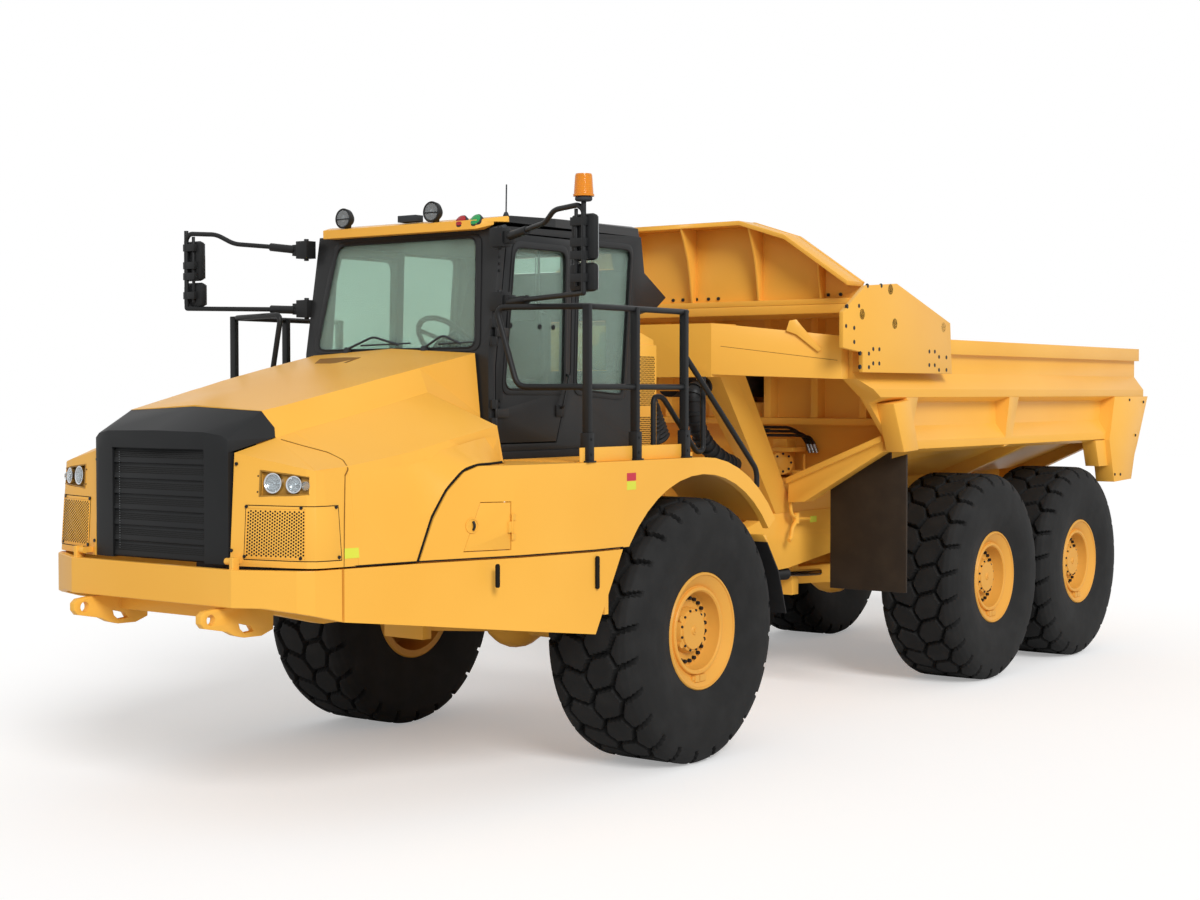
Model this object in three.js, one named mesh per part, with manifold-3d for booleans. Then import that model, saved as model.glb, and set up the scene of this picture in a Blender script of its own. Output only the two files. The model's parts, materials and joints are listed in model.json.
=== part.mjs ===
// Articulated dump truck with a sliding ejector, at real size, in millimetres.
// +Z is up, the truck faces -Y, and +X is its left side. Stations along Y are measured
// rearwards from the front axle, and the whole truck is then centred over the origin.
import * as THREE from 'three';
import { ConvexGeometry } from 'three/addons/geometries/ConvexGeometry.js';
import { mergeVertices } from 'three/addons/utils/BufferGeometryUtils.js';
import Module from 'manifold-3d';

const wasm = await Module();
wasm.setup();

// ---------------------------------------------------------------- driving dimensions
const SEAT_GAP = 0.3;            // between pieces that touch
const RUN_GAP = 12;              // between pieces that pass each other

const tyre = { radius: 928, width: 762, segments: 28 };
const rim = { radius: 410, mouth: 352, width: 676, disc: 70, dish: 290, hub: 150 };
const TRACK = 2687;
const HUB_Z = 928;
const MID_AXLE_Y = 4765;
const REAR_AXLE_Y = 6731;
const AXLE_TUBE_R = 150;

const HITCH = { y: 1458, z: 1150 };
const FRAME = { halfWidth: 480, rail: 110, front: -3250, back: 1050, noseBottom: 1235, frontBottom: 1140,
  rearBottom: 1220, top: 1390 };

const BUMPER = { face: -3486, halfFace: 722, cornerX: 1150, cornerY: -3270, seamX: 1196, seamY: -3060,
  frontBottom: 1345, seamBottom: 1257, top: 1565, wall: 45 };
const PANEL_BOTTOM = 1578;       // lower edge of the hood and the fenders
const SIDE_X = 1690;             // outer face of the fenders
const DECK_Z = 2140;
const DECK_PLATE = 50;
const DECK_INNER_X = 862;
const ARCH = { y: -20, radius: 1095, liner: 40, endAngle: 37.5, facets: 48 };
const ARCH_OUTER = DECK_Z - HUB_Z;
const SKIRT = { frontX: 1199, frontY: -3046, frontBottom: 1255, rearBottom: 1035, rearY: -1244, wall: 50 };

const HOOD = { rearY: -1350, wall: 40, pivotY: -3445, pivotZ: 1610 };
const GRILLE = { half: 413, top: 2253 };
const CAB = { halfWidth: 850, front: -1330, rear: 352, floor: 2192, eaves: 3700, wall: 58 };
const DOOR = { gap: 10, hingeX: CAB.halfWidth + 14, hingeY: -1266, hinges: [2420, 2960], knuckle: 60 };
const GLASS = 8;

const TRAILER = { halfWidth: 570, rail: 130, front: 2250, back: 7350, bottom: 1120, top: 1560 };
const BODY = { front: 2060, back: 8223, halfInner: 1560, floorHalf: 620, floor: 1850, plate: 52,
  slope: 0.41, rimZ: 3040, noseX: 1750, chineY: 2850 };
const EJECTOR = { backY: 3250, faceY: 3740, clearance: 14 };
const RAM = { frontY: 1950, z: 2670, pin: 34, radius: 120, wall: 16, start: 2020, length: 1540, step: 30 };
const TAILGATE = { hingeY: 7830, hingeZ: 1830, plate: 80, kneeY: 8250, kneeZ: 2500, top: 2960 };
const RAM_EYE_Y = EJECTOR.faceY - 45;
const CHINE_DEPTH = 148;
const GUARD_Y = 2428;
const FLAP = { wall: 24, inner: 985, outer: 1700, bottom: 935 };

const FRONT_END = -3600;
const REAR_END = 8350;
const LENGTH_CENTRE = (FRONT_END + REAR_END) / 2;

// ---------------------------------------------------------------- colours
const paint = { color: 0xf2b544, roughness: 0.35, metalness: 0.1 };
const rimPaint = { color: 0xf0ae3c, roughness: 0.4, metalness: 0.1 };
const black = { color: 0x26282a, roughness: 0.5, metalness: 0.1 };
const rubber = { color: 0x1d1e20, roughness: 0.85, metalness: 0 };
const glassTint = { color: 0x9db8ac, roughness: 0.05, metalness: 0, transparent: true, opacity: 0.35 };
const chrome = { color: 0xc9ccd0, roughness: 0.15, metalness: 1 };
const ironGrey = { color: 0x55585c, roughness: 0.6, metalness: 0.6 };
const trim = { color: 0x34373a, roughness: 0.7, metalness: 0 };

// ---------------------------------------------------------------- solids
function solid(geometry) {
  const bare = geometry.clone();
  bare.deleteAttribute('normal');
  bare.deleteAttribute('uv');
  const merged = mergeVertices(bare, 0.01);
  const index = merged.index ? Array.from(merged.index.array)
    : [...Array(merged.attributes.position.count).keys()];
  const kept = [];
  for (let i = 0; i < index.length; i += 3) {
    const [a, b, c] = index.slice(i, i + 3);
    if (a !== b && b !== c && a !== c) kept.push(a, b, c);
  }
  const mesh = new wasm.Mesh({
    numProp: 3,
    vertProperties: new Float32Array(merged.attributes.position.array),
    triVerts: new Uint32Array(kept),
  });
  return new wasm.Manifold(mesh);
}

function geometryOf(manifold) {
  const mesh = manifold.getMesh();
  const geometry = new THREE.BufferGeometry();
  geometry.setAttribute('position', new THREE.BufferAttribute(mesh.vertProperties, 3));
  geometry.setIndex(new THREE.BufferAttribute(mesh.triVerts, 1));
  geometry.computeVertexNormals();
  return geometry;
}

function join(...pieces) {
  return pieces.reduce((whole, piece) => whole.add(piece));
}

function cut(body, ...tools) {
  return tools.reduce((left, tool) => left.subtract(tool), body);
}

function mirror(piece) {
  return piece.mirror([1, 0, 0]);
}

function both(piece) {
  return piece.add(mirror(piece));
}

function box(x0, x1, y0, y1, z0, z1) {
  const geometry = new THREE.BoxGeometry(x1 - x0, y1 - y0, z1 - z0);
  geometry.translate((x0 + x1) / 2, (y0 + y1) / 2, (z0 + z1) / 2);
  return solid(geometry);
}

// A flat outline pushed along one axis. Outline pairs are (y, z) along x, (x, z) along y
// and (x, y) along z.
function prism(axis, outline, from, to) {
  const points = outline.map(([a, b]) => new THREE.Vector2(a, b));
  if (THREE.ShapeUtils.area(points) < 0) points.reverse();
  const geometry = new THREE.ExtrudeGeometry(new THREE.Shape(points),
    { depth: to - from, bevelEnabled: false });
  geometry.translate(0, 0, from);
  const turn = new THREE.Matrix4();
  if (axis === 'x') turn.set(0, 0, 1, 0, 1, 0, 0, 0, 0, 1, 0, 0, 0, 0, 0, 1);
  if (axis === 'y') turn.set(1, 0, 0, 0, 0, 0, -1, from + to, 0, 1, 0, 0, 0, 0, 0, 1);
  return solid(geometry.applyMatrix4(turn));
}

function convex(points) {
  return solid(new ConvexGeometry(points.map(([x, y, z]) => new THREE.Vector3(x, y, z))));
}

function rod(start, end, radius, sides = 16) {
  const a = new THREE.Vector3(...start);
  const b = new THREE.Vector3(...end);
  const geometry = new THREE.CylinderGeometry(radius, radius, a.distanceTo(b), sides);
  const turn = new THREE.Quaternion().setFromUnitVectors(
    new THREE.Vector3(0, 1, 0), b.clone().sub(a).normalize());
  geometry.applyQuaternion(turn);
  geometry.translate((a.x + b.x) / 2, (a.y + b.y) / 2, (a.z + b.z) / 2);
  return solid(geometry);
}

// A bent tube through its corner points. Each length runs a little past its corner, so that
// the next one closes the bend.
function pipe(points, radius, sides = 6) {
  const lengths = points.slice(1).map((point, i) => {
    const a = new THREE.Vector3(...points[i]);
    const b = new THREE.Vector3(...point);
    const past = b.clone().sub(a).setLength(radius * 0.5);
    if (i > 0) a.sub(past);
    if (i < points.length - 2) b.add(past);
    return rod(a.toArray(), b.toArray(), radius, sides);
  });
  return join(...lengths);
}

// A closed profile of (x, radius) pairs turned about the X axis.
function turned(profile, segments, closed) {
  const points = profile.map(([x, r]) => new THREE.Vector2(r, x));
  if (closed) points.push(points[0].clone());
  const geometry = new THREE.LatheGeometry(points, segments);
  geometry.rotateZ(-Math.PI / 2);
  let result = solid(geometry);
  if (result.volume() < 0) result = solid(flip(geometry));
  return result;
}

function flip(geometry) {
  const turnedOver = geometry.clone();
  const index = turnedOver.index.array;
  for (let i = 0; i < index.length; i += 3) [index[i], index[i + 1]] = [index[i + 1], index[i]];
  return turnedOver;
}

// A shell between two grids of points with the same rows and columns.
function shell(outer, inner) {
  const rows = outer.length;
  const columns = outer[0].length;
  const positions = [...outer, ...inner].flat(2);
  const at = (layer, row, column) => (layer * rows + row) * columns + column;
  const index = [];
  const quad = (a, b, c, d) => index.push(a, b, c, a, c, d);
  for (let r = 1; r < rows; r += 1) {
    for (let c = 1; c < columns; c += 1) {
      quad(at(0, r - 1, c - 1), at(0, r, c - 1), at(0, r, c), at(0, r - 1, c));
      quad(at(1, r - 1, c - 1), at(1, r - 1, c), at(1, r, c), at(1, r, c - 1));
    }
    quad(at(0, r - 1, 0), at(1, r - 1, 0), at(1, r, 0), at(0, r, 0));
    const last = columns - 1;
    quad(at(0, r, last), at(1, r, last), at(1, r - 1, last), at(0, r - 1, last));
  }
  for (let c = 1; c < columns; c += 1) {
    quad(at(0, 0, c - 1), at(0, 0, c), at(1, 0, c), at(1, 0, c - 1));
    const end = rows - 1;
    quad(at(0, end, c), at(0, end, c - 1), at(1, end, c - 1), at(1, end, c));
  }
  const geometry = new THREE.BufferGeometry();
  geometry.setAttribute('position', new THREE.BufferAttribute(new Float32Array(positions), 3));
  geometry.setIndex(index);
  const result = solid(geometry);
  return result.volume() < 0 ? solid(flip(geometry)) : result;
}

function arcPoints(cy, cz, radius, fromDegrees, toDegrees, steps) {
  const points = [];
  for (let i = 0; i <= steps; i += 1) {
    const angle = THREE.MathUtils.degToRad(fromDegrees + (toDegrees - fromDegrees) * i / steps);
    points.push([cy + radius * Math.cos(angle), cz + radius * Math.sin(angle)]);
  }
  return points;
}

const truck = new THREE.Group();
truck.position.y = -LENGTH_CENTRE;

function add(name, piece, look) {
  const mesh = new THREE.Mesh(geometryOf(piece), new THREE.MeshStandardMaterial(look));
  mesh.name = name;
  truck.add(mesh);
}

// ---------------------------------------------------------------- wheels
// Both are made about the X axis at the origin, with the outer side towards +X.
function tyreSolid() {
  const half = tyre.width / 2;
  const bead = rim.width / 2 - 8;
  const r = tyre.radius;
  const bore = rim.radius + 2 * SEAT_GAP;
  return turned([
    [-bead, bore], [-half + 16, bore + 90], [-half, 700],
    [-half + 60, r - 32], [-half + 105, r], [half - 105, r], [half - 60, r - 32],
    [half, 700], [half - 16, bore + 90], [bead, bore],
  ], tyre.segments, true);
}

function rimSolid() {
  const half = rim.width / 2;
  const faceX = half - rim.dish;
  const profile = [
    [faceX - rim.disc, 0], [faceX - rim.disc, rim.mouth], [-half, rim.mouth], [-half, rim.radius],
    [half, rim.radius], [half, rim.mouth], [faceX, rim.mouth - 12], [faceX, rim.hub],
    [faceX + 70, rim.hub - 20], [faceX + 70, 0],
  ];
  return turned(profile, tyre.segments, false);
}

const wheelPlaces = { front: 0, mid: MID_AXLE_Y, rear: REAR_AXLE_Y };

function addWheels() {
  const rubberRing = tyreSolid();
  const disc = rimSolid();
  for (const [row, y] of Object.entries(wheelPlaces)) {
    const place = [TRACK / 2, y, HUB_Z];
    add(`tyre_${row}_left`, rubberRing.translate(place), rubber);
    add(`rim_${row}_left`, disc.translate(place), rimPaint);
    add(`tyre_${row}_right`, mirror(rubberRing.translate(place)), rubber);
    add(`rim_${row}_right`, mirror(disc.translate(place)), rimPaint);
  }
}

// ---------------------------------------------------------------- axles
const HUB_FACE_X = TRACK / 2 + rim.width / 2 - rim.dish - rim.disc - SEAT_GAP;

// An axle with its centre drive housing, its final drives inside the rims, and a tongue
// that reaches a frame member.
function axleSolid(y, tongue, padTop) {
  const centre = new THREE.SphereGeometry(250, 16, 10);
  centre.translate(0, y, HUB_Z);
  const tongueY = tongue.y;
  const tongueZ = tongue.z;
  const side = join(
    rod([0, y, HUB_Z], [HUB_FACE_X - 200, y, HUB_Z], AXLE_TUBE_R, 20),
    rod([HUB_FACE_X - 330, y, HUB_Z], [HUB_FACE_X, y, HUB_Z], 230, 24),
    box(470, 620, y - 130, y + 130, HUB_Z, padTop),
    convex([[300, y - 90, HUB_Z - 90], [470, y - 90, HUB_Z - 90], [300, y + 90, HUB_Z + 90],
      [470, y + 90, HUB_Z + 90], [300, y + 90, HUB_Z - 90], [470, y + 90, HUB_Z - 90],
      [-60, tongueY, tongueZ - 70], [90, tongueY, tongueZ - 70], [-60, tongueY, tongueZ + 70],
      [90, tongueY, tongueZ + 70], [300, y - 90, HUB_Z + 90], [470, y - 90, HUB_Z + 90]]),
  );
  return join(solid(centre), both(side));
}

// ---------------------------------------------------------------- tractor frame
const tongueFront = { y: -1150, z: 1000 };
const tongueMid = { y: 3350, z: 940 };
const tongueRear = { y: 7450 - 190, z: 1000 };

function tractorFrame() {
  const { halfWidth: outer, rail, front, back, noseBottom, frontBottom, rearBottom, top } = FRAME;
  const tongueBack = tongueFront.y - SEAT_GAP;
  const side = [[front, noseBottom], [-2900, noseBottom], [-2500, frontBottom], [-900, frontBottom],
    [-700, rearBottom], [back, rearBottom], [back, top], [front, top]];
  const half = join(
    prism('x', side, outer - rail, outer),
    box(0, outer, front, front + 60, noseBottom, top),
    box(0, outer, -2350, -2230, frontBottom, top - 60),
    box(0, outer, back - 70, back, rearBottom, top),
    box(0, 180, tongueBack - 90, tongueBack, 880, frontBottom + 40),
    box(0, outer, tongueBack - 90, tongueBack, frontBottom, frontBottom + 100),
    towEye(),
    cabMount(),
    steerBracket(),
  );
  return join(both(half), hitchYoke());
}

// The eye stands under the bumper, on an arm from the front cross member.
const TOW_EYE = { x: 571, y: -3523, z: 1270, hole: 32, plate: 46, top: 1330 };

function towEye() {
  const { x, y, z, hole, plate, top } = TOW_EYE;
  const outline = [[FRAME.front + 220, top], [-3487, top], [FRONT_END + 30, z + 52], [FRONT_END, z + 28],
    [FRONT_END, z - 16], [FRONT_END + 26, z - 46], [y + 20, z - 60], [-3400, z - 80], [-3341, z - 109],
    [-3266, z - 128], [-3129, z - 131], [-3035, z - 100]];
  const blade = prism('x', outline, x - plate / 2, x + plate / 2);
  const bore = rod([x - plate, y, z], [x + plate, y, z], hole, 20);
  const slot = prism('x', [[-3310, z - 38], [-3300, z - 72], [-3265, z - 102], [-3190, z - 96],
    [-3212, z - 63]], x - plate, x + plate);
  const shelf = box(FRAME.halfWidth - 30, x + plate / 2, FRAME.front, FRAME.front + 60, FRAME.noseBottom, top);
  return join(cut(blade, bore, slot), shelf);
}

// Posts that carry the cab floor and the decks beside it.
function cabMount() {
  const posts = [-1150, 200].map((y) => join(
    box(FRAME.halfWidth - FRAME.rail, FRAME.halfWidth, y, y + 110, FRAME.top - 40, CAB.floor - SEAT_GAP),
    box(FRAME.halfWidth - 40, 955, y, y + 110, DECK_Z - DECK_PLATE - 110, DECK_Z - DECK_PLATE - SEAT_GAP),
  ));
  return join(...posts);
}

// Each cylinder runs from a bracket on the frame to a lug on the hitch head.
const steer = { x: 620, frontY: 300, rearX: 500, rearY: 1950, z: 1100, barrel: 1100, rod: 1110 };

function steerBracket() {
  const { x, frontY, z } = steer;
  const back = FRAME.halfWidth - 40;
  const ear = (z0, z1) => box(back, x + 90, frontY - 90, frontY + 60, z0, z1);
  const pin = rod([x, frontY, z - 100], [x, frontY, z + 100], 34);
  const plate = box(back, FRAME.halfWidth + 30, frontY - 90, frontY + 60, z - 100, FRAME.rearBottom + 10);
  return join(ear(z - 100, z - 62), ear(z + 62, z + 100), pin, plate);
}

// Two ears round the hitch head's upright pin.
const hitchPin = { radius: 70, spindle: 120, play: 2.5, earHalf: 190, earZ: 210, ear: 60 };

const YOKE_HALF = 225;           // leaves room for the steering cylinders to swing in

function hitchYoke() {
  const { radius, earHalf, earZ, ear: thick } = hitchPin;
  const front = FRAME.back - 90;
  const ear = (halfFront, z0, z1) => prism('z', [[-halfFront, front], [halfFront, front],
    [earHalf, HITCH.y], [120, HITCH.y + 160], [-120, HITCH.y + 160], [-earHalf, HITCH.y]], z0, z1);
  const low = HITCH.z - earZ;
  const high = HITCH.z + earZ;
  const pin = rod([0, HITCH.y, low - thick], [0, HITCH.y, high + thick], radius, 24);
  const post = box(-YOKE_HALF, YOKE_HALF, FRAME.back - 150, FRAME.back, low - thick, FRAME.top);
  return join(ear(YOKE_HALF, low - thick, low), ear(FRAME.halfWidth, high, high + thick), pin, post);
}

function engineBlock() {
  return join(box(-360, 360, -2800, -1450, FRAME.top + SEAT_GAP, 2200),
    box(-380, 380, -2600, -2000, FRAME.top + SEAT_GAP, FRAME.top + 80));
}

// ---------------------------------------------------------------- bumper
function bumperSolid() {
  const { face, halfFace, cornerX, cornerY, seamX, seamY, frontBottom, seamBottom, top, wall } = BUMPER;
  const outline = (inset, backY) => {
    const side = [[halfFace - inset * 0.2, face + inset], [cornerX - 70 - inset * 0.5, cornerY - 42 + inset],
      [cornerX - inset * 0.7, cornerY + 30 + inset * 0.5], [seamX - inset, seamY], [seamX - inset, backY]];
    return [...side, ...side.map(([x, y]) => [-x, y]).reverse()];
  };
  const band = cut(prism('z', outline(0, seamY + 0.01), seamBottom, top),
    prism('z', outline(wall, seamY + 200), seamBottom - 10, top + 10));
  const below = prism('x', [[face - 50, seamBottom - 50], [face - 50, frontBottom], [-3400, frontBottom],
    [seamY, seamBottom], [seamY + 50, seamBottom - 50]], -2000, 2000);
  const tray = prism('z', outline(wall - 5, seamY + 0.01), frontBottom, frontBottom + wall);
  const frameRoom = box(-1000, 1000, FRAME.front - SEAT_GAP, seamY + 10, frontBottom - 10, FRAME.top + 10);
  const lug = box(690, 722, HOOD.pivotY - 26, HOOD.pivotY + 26, top - 30, HOOD.pivotZ + 26);
  return join(cut(band, below), cut(tray, frameRoom), both(lug));
}

// ---------------------------------------------------------------- fenders
const sidePlan = [[SKIRT.frontX, SKIRT.frontY], [1314, -2541], [1552, -1867], [1671, -1271], [SIDE_X, -967]];

function sideStrip(outerInset, innerInset, z0, z1) {
  const outer = sidePlan.map(([x, y]) => [x - outerInset, y]);
  const inner = sidePlan.map(([x, y]) => [x - innerInset, y]).reverse();
  return prism('z', [...outer, ...inner], z0, z1);
}

// Where the hood's lower rear edge sweeps up to the deck, seen from the side.
const hoodSweep = [[-2541, PANEL_BOTTOM], [-2450, 1830], [-2360, 1992], [-2250, 2105], [-2150, 2140],
  [-1700, 2160]];

function fenderSolid() {
  const { radius, liner, endAngle } = ARCH;
  const centre = [ARCH.y, HUB_Z];
  const wheelRoom = (x0, x1) => rod([x0, ...centre], [x1, ...centre], radius, ARCH.facets);
  const sweep = prism('x', [...hoodSweep.map(([y, z]) => [y + RUN_GAP, z]), [-1700, 2500], [-3300, 2500],
    [-3300, 1400], [-2541 + RUN_GAP, 1400]], 0, 2000);
  const doorway = prism('x', grow(serviceOutline, 5), 1000, 2000);
  const upper = cut(sideStrip(0, SKIRT.wall, PANEL_BOTTOM, DECK_Z), sweep, doorway);
  const deck = prism('z', [[DECK_INNER_X, -1320], [1270, -1655], [1480, -2040], [1552, -1867], [1671, -1271],
    [SIDE_X, -967], [SIDE_X, 0], [DECK_INNER_X, 0]], DECK_Z - DECK_PLATE, DECK_Z);
  const rearDeck = box(DECK_INNER_X, 1000, -10, 880, DECK_Z - DECK_PLATE, DECK_Z);
  const lipFace = archBand(centre, radius, ARCH_OUTER, endAngle, 142.5, SIDE_X - 50, SIDE_X);
  const linerBand = archBand(centre, ARCH_OUTER - liner, ARCH_OUTER, endAngle, 150, 960, SIDE_X - 20);
  const topFill = cut(box(SIDE_X - SKIRT.wall, SIDE_X, -967, 0, PANEL_BOTTOM, DECK_Z),
    wheelRoom(SIDE_X - 200, SIDE_X + 200));
  const frontWall = box(960, SIDE_X - 30, -1130, -1090, 1150, 1640);
  const tie = cut(sideStrip(SKIRT.wall - 22, SKIRT.wall, BUMPER.top - 40, PANEL_BOTTOM + 30),
    box(0, 2000, -3300, -2515, 1400, 1700));
  const shelf = cut(box(DECK_INNER_X, 1300, -1500, -1200, DECK_Z - 130, DECK_Z - 20), sweep);
  const body = join(upper, serviceKnuckles(), cut(deck, sweep), rearDeck, lipFace, linerBand, topFill,
    frontWall, skirtSolid(), tie, shelf);
  return cut(body, wheelRoom(940, 2000));
}

function archBand([cy, cz], r0, r1, from, to, x0, x1) {
  const steps = Math.round((to - from) * ARCH.facets / 360);
  const outer = arcPoints(cy, cz, r1, from, to, steps);
  const inner = arcPoints(cy, cz, r0, from, to, steps).reverse();
  return prism('x', [...outer, ...inner], x0, x1);
}

const serviceOutline = [[-2240, 1624], [-1930, 1622], [-1930, 1912], [-2130, 1915]];

// The hinge stands on the outer skin, just behind the opening.
function serviceHinge() {
  const [[x0, y0], [x1, y1]] = [sidePlan[1], sidePlan[2]];
  const y = serviceOutline[1][0] + 4;
  return { x: x0 + (x1 - x0) * (y - y0) / (y1 - y0) + 10, y };
}

const SERVICE_KNUCKLE = { radius: 7, low: 1720, high: 1800, length: 40 };

function serviceKnuckles() {
  const { x, y } = serviceHinge();
  const { radius, low, high, length } = SERVICE_KNUCKLE;
  const knuckle = (z0, z1) => join(rod([x, y, z0], [x, y, z1], radius, 12),
    box(x - 24, x + 4, y + 2, y + 30, z0, z1));
  return join(knuckle(low - length, low - SEAT_GAP), knuckle(high + SEAT_GAP, high + length));
}

function serviceDoor() {
  const { x, y } = serviceHinge();
  const { radius, low, high } = SERVICE_KNUCKLE;
  const leaf = sideStrip(2, 27, 1500, 2000).intersect(prism('x', serviceOutline, 1000, 2000));
  return join(leaf, rod([x, y, low], [x, y, high], radius, 12), box(x - 26, x, y - 30, y, low + 6, high - 6));
}

function skirtSolid() {
  const strip = sideStrip(0, SKIRT.wall, SKIRT.rearBottom - 10, BUMPER.top);
  const { frontY, frontBottom, rearY, rearBottom } = SKIRT;
  const high = BUMPER.top + 5;
  const keep = prism('x', [[frontY, frontBottom], [rearY, rearBottom], [-967, high], [frontY, high]], 0, 2000);
  return strip.intersect(keep);
}

// ---------------------------------------------------------------- hood
// Half sections from the centre line outwards: crown, upper crease, lower crease, shoulder
// edge and bottom edge.
const hoodStations = [
  [[0, -3118, 2512], [592, -3118, 2480], [688, -3092, 2320], [1128, -3205, 2140], [1131, -3205, 2095]],
  [[0, -2960, 2548], [622, -2960, 2512], [700, -2960, 2352], [1152, -2960, 2158], [1156, -2960, 2113]],
  [[0, -2950, 2550], [624, -2950, 2514], [704, -2950, 2356], [1153, -2950, 2160], [1222, -2950, PANEL_BOTTOM]],
  [[0, -2553, 2640], [672, -2553, 2602], [745, -2553, 2438], [1180, -2553, 2215], [1309, -2553, PANEL_BOTTOM]],
  [[0, -2455, 2660], [682, -2455, 2622], [755, -2455, 2460], [1189, -2455, 2232], [1290, -2455, 1846]],
  [[0, -2362, 2680], [692, -2362, 2643], [764, -2362, 2480], [1196, -2362, 2250], [1283, -2362, 2004]],
  [[0, -2252, 2704], [702, -2252, 2668], [774, -2252, 2505], [1205, -2252, 2272], [1288, -2252, 2118]],
  [[0, -2150, 2725], [710, -2150, 2689], [782, -2150, 2527], [1214, -2150, 2293], [1292, -2150, 2148]],
  [[0, -1874, 2782], [728, -1874, 2746], [800, -1874, 2589], [1250, -1722, 2378], [1275, -1690, 2146]],
  [[0, HOOD.rearY, 2890], [750, HOOD.rearY, 2850], [795, HOOD.rearY, 2440], [798, HOOD.rearY, 2300],
    [800, HOOD.rearY, 2146]],
];

function hoodShell() {
  const wall = HOOD.wall;
  const inward = [[0, 0, -wall], [-wall * 0.5, 0, -wall], [-wall * 0.7, 0, -wall * 0.9], [-wall, 0, -wall * 0.8],
    [-wall, 0, 0]];
  const shift = ([x, y, z], [dx, dy, dz]) => [x + dx, y + dy, z + dz];
  const across = (half) => [...half.slice(1).map(([x, y, z]) => [-x, y, z]).reverse(), ...half];
  const outer = hoodStations.map(across);
  const inner = hoodStations.map((half) => across(half.map((point, i) => shift(point, inward[i]))));
  const skin = join(shell(outer, inner), both(lampPanel()));
  return join(cut(skin, both(surroundBlock(SEAT_GAP * 2))), both(hoodHinge()));
}

// The upright panel beside the grille, wrapped round the corner, with the lamp recess and
// the sloping plate on top that closes it to the hood.
const panelLow = [[612, -3392], [1000, -3300], [1110, -3262], [1154, -3229], [1180, -3160], [1222, -2952]];
const panelHigh = [[612, -3352, 2236], [1000, -3262, 2164], [1085, -3234, 2148], [1128, -3205, 2138],
  [1138, -3150, 2138], [1152, -2952, 2150]];
const LAMP_RECESS = [[791, -3314, 2140], [791, -3324, 1985], [1000, -3265, 2118], [1000, -3273, 1992],
  [1100, -3227, 2104], [1102, -3234, 2000]];

function lampPanel() {
  const wall = 46;
  const inX = (i) => (i > 2 ? wall : wall * 0.3);
  const inY = (i) => (i < 4 ? wall : 10);
  const outer = [panelLow.map(([x, y]) => [x, y, PANEL_BOTTOM]), panelHigh];
  const inner = [panelLow.map(([x, y], i) => [x - inX(i) - (i > 4 ? 4 : 0), y + inY(i), PANEL_BOTTOM]),
    panelHigh.map(([x, y, z], i) => [x - inX(i), y + inY(i), z])];
  const recess = convex(LAMP_RECESS.flatMap(([x, y, z]) => [[x, y - 40, z], [x, y + 30, z]]));
  return join(cut(shell(outer, inner), recess), panelTop());
}

function panelTop() {
  const edge = [...panelHigh.slice(0, 4), [688, -3092, 2320]];
  return convex(edge.flatMap(([x, y, z]) => [[x, y, z], [x, y + 20, z - 44]]));
}

function hoodHinge() {
  const { pivotY, pivotZ } = HOOD;
  return join(rod([640, pivotY, pivotZ], [690 - SEAT_GAP, pivotY, pivotZ], 20, 12),
    box(645, 685, pivotY, -3350, pivotZ - 16, pivotZ + 16));
}

// One half of the block that the surround is cut from, grown outwards by grow: an upright
// lower part, and a cap that reaches back to the hood's front edge.
function surroundBlock(grow) {
  const low = PANEL_BOTTOM + 2 - grow;
  const side = 598 + grow;
  const shoulder = 2240;
  const back = -3300 + grow;
  const lower = convex([[0, -3440, low], [0, back, low], [0, -3440, shoulder], [0, back, shoulder],
    [551, -3404, low], [551, -3404, shoulder], [side, -3390, low], [side, back, low],
    [side, -3390, shoulder], [side, back, shoulder]]);
  const cap = convex([[0, -3440, shoulder - 5], [0, -3100, shoulder - 5], [0, -3440, 2362 + grow],
    [0, -3122 + grow, 2504 + grow], [430, -3434, 2356 + grow], [551, -3404, 2338 + grow],
    [551, -3404, shoulder - 5], [side, -3390, 2310 + grow], [side, -3390, shoulder - 5],
    [592 + grow, -3118 + grow, 2478 + grow], [666 + grow, -3082 + grow, 2380 + grow],
    [686 + grow, -3096 + grow, 2322], [610 + grow, -3352, 2246]]);
  return join(lower, cap);
}

function grilleSurround() {
  const opening = box(-GRILLE.half, GRILLE.half, -3600, -3000, 1500, GRILLE.top);
  const hollow = convex([
    [-520, -3340, 1500], [520, -3340, 1500], [-520, -3340, 2280], [520, -3340, 2280],
    [-520, -3000, 1500], [520, -3000, 1500], [-540, -3040, 2420], [540, -3040, 2420],
  ]);
  return cut(both(surroundBlock(0)), opening, hollow);
}

function grilleSolid() {
  const half = GRILLE.half - SEAT_GAP;
  return box(-half, half, -3392, -3352, PANEL_BOTTOM + 6, GRILLE.top - SEAT_GAP);
}

// ---------------------------------------------------------------- cab
const cabProfile = [[CAB.front, CAB.floor], [CAB.front, 2860], [-1188, CAB.eaves], [420, CAB.eaves + 30],
  [462, 3470], [742, 3300], [600, 3205], [CAB.rear, 3150], [CAB.rear, CAB.floor]];
const cabInside = [[CAB.front + 60, CAB.floor + 60], [CAB.front + 60, 2850], [-1128, CAB.eaves - 60],
  [345, CAB.eaves - 60], [395, 3480], [CAB.rear - 60, 3150], [CAB.rear - 60, CAB.floor + 60]];
const doorOutline = [[-1250, 2250], [-1250, 2760], [-1128, 3655], [-415, 3655], [-440, 2740], [-600, 2250]];
const doorWindow = [[-1175, 2620], [-1060, 3580], [-478, 3580], [-505, 2600], [-1150, 2600]];
const rearWindow = [[-345, 3640], [-385, 2600], [200, 2560], [300, 3640]];
const rightWindow = [[-1150, 2600], [-1050, 3580], [-420, 3580], [-450, 2600]];

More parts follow.
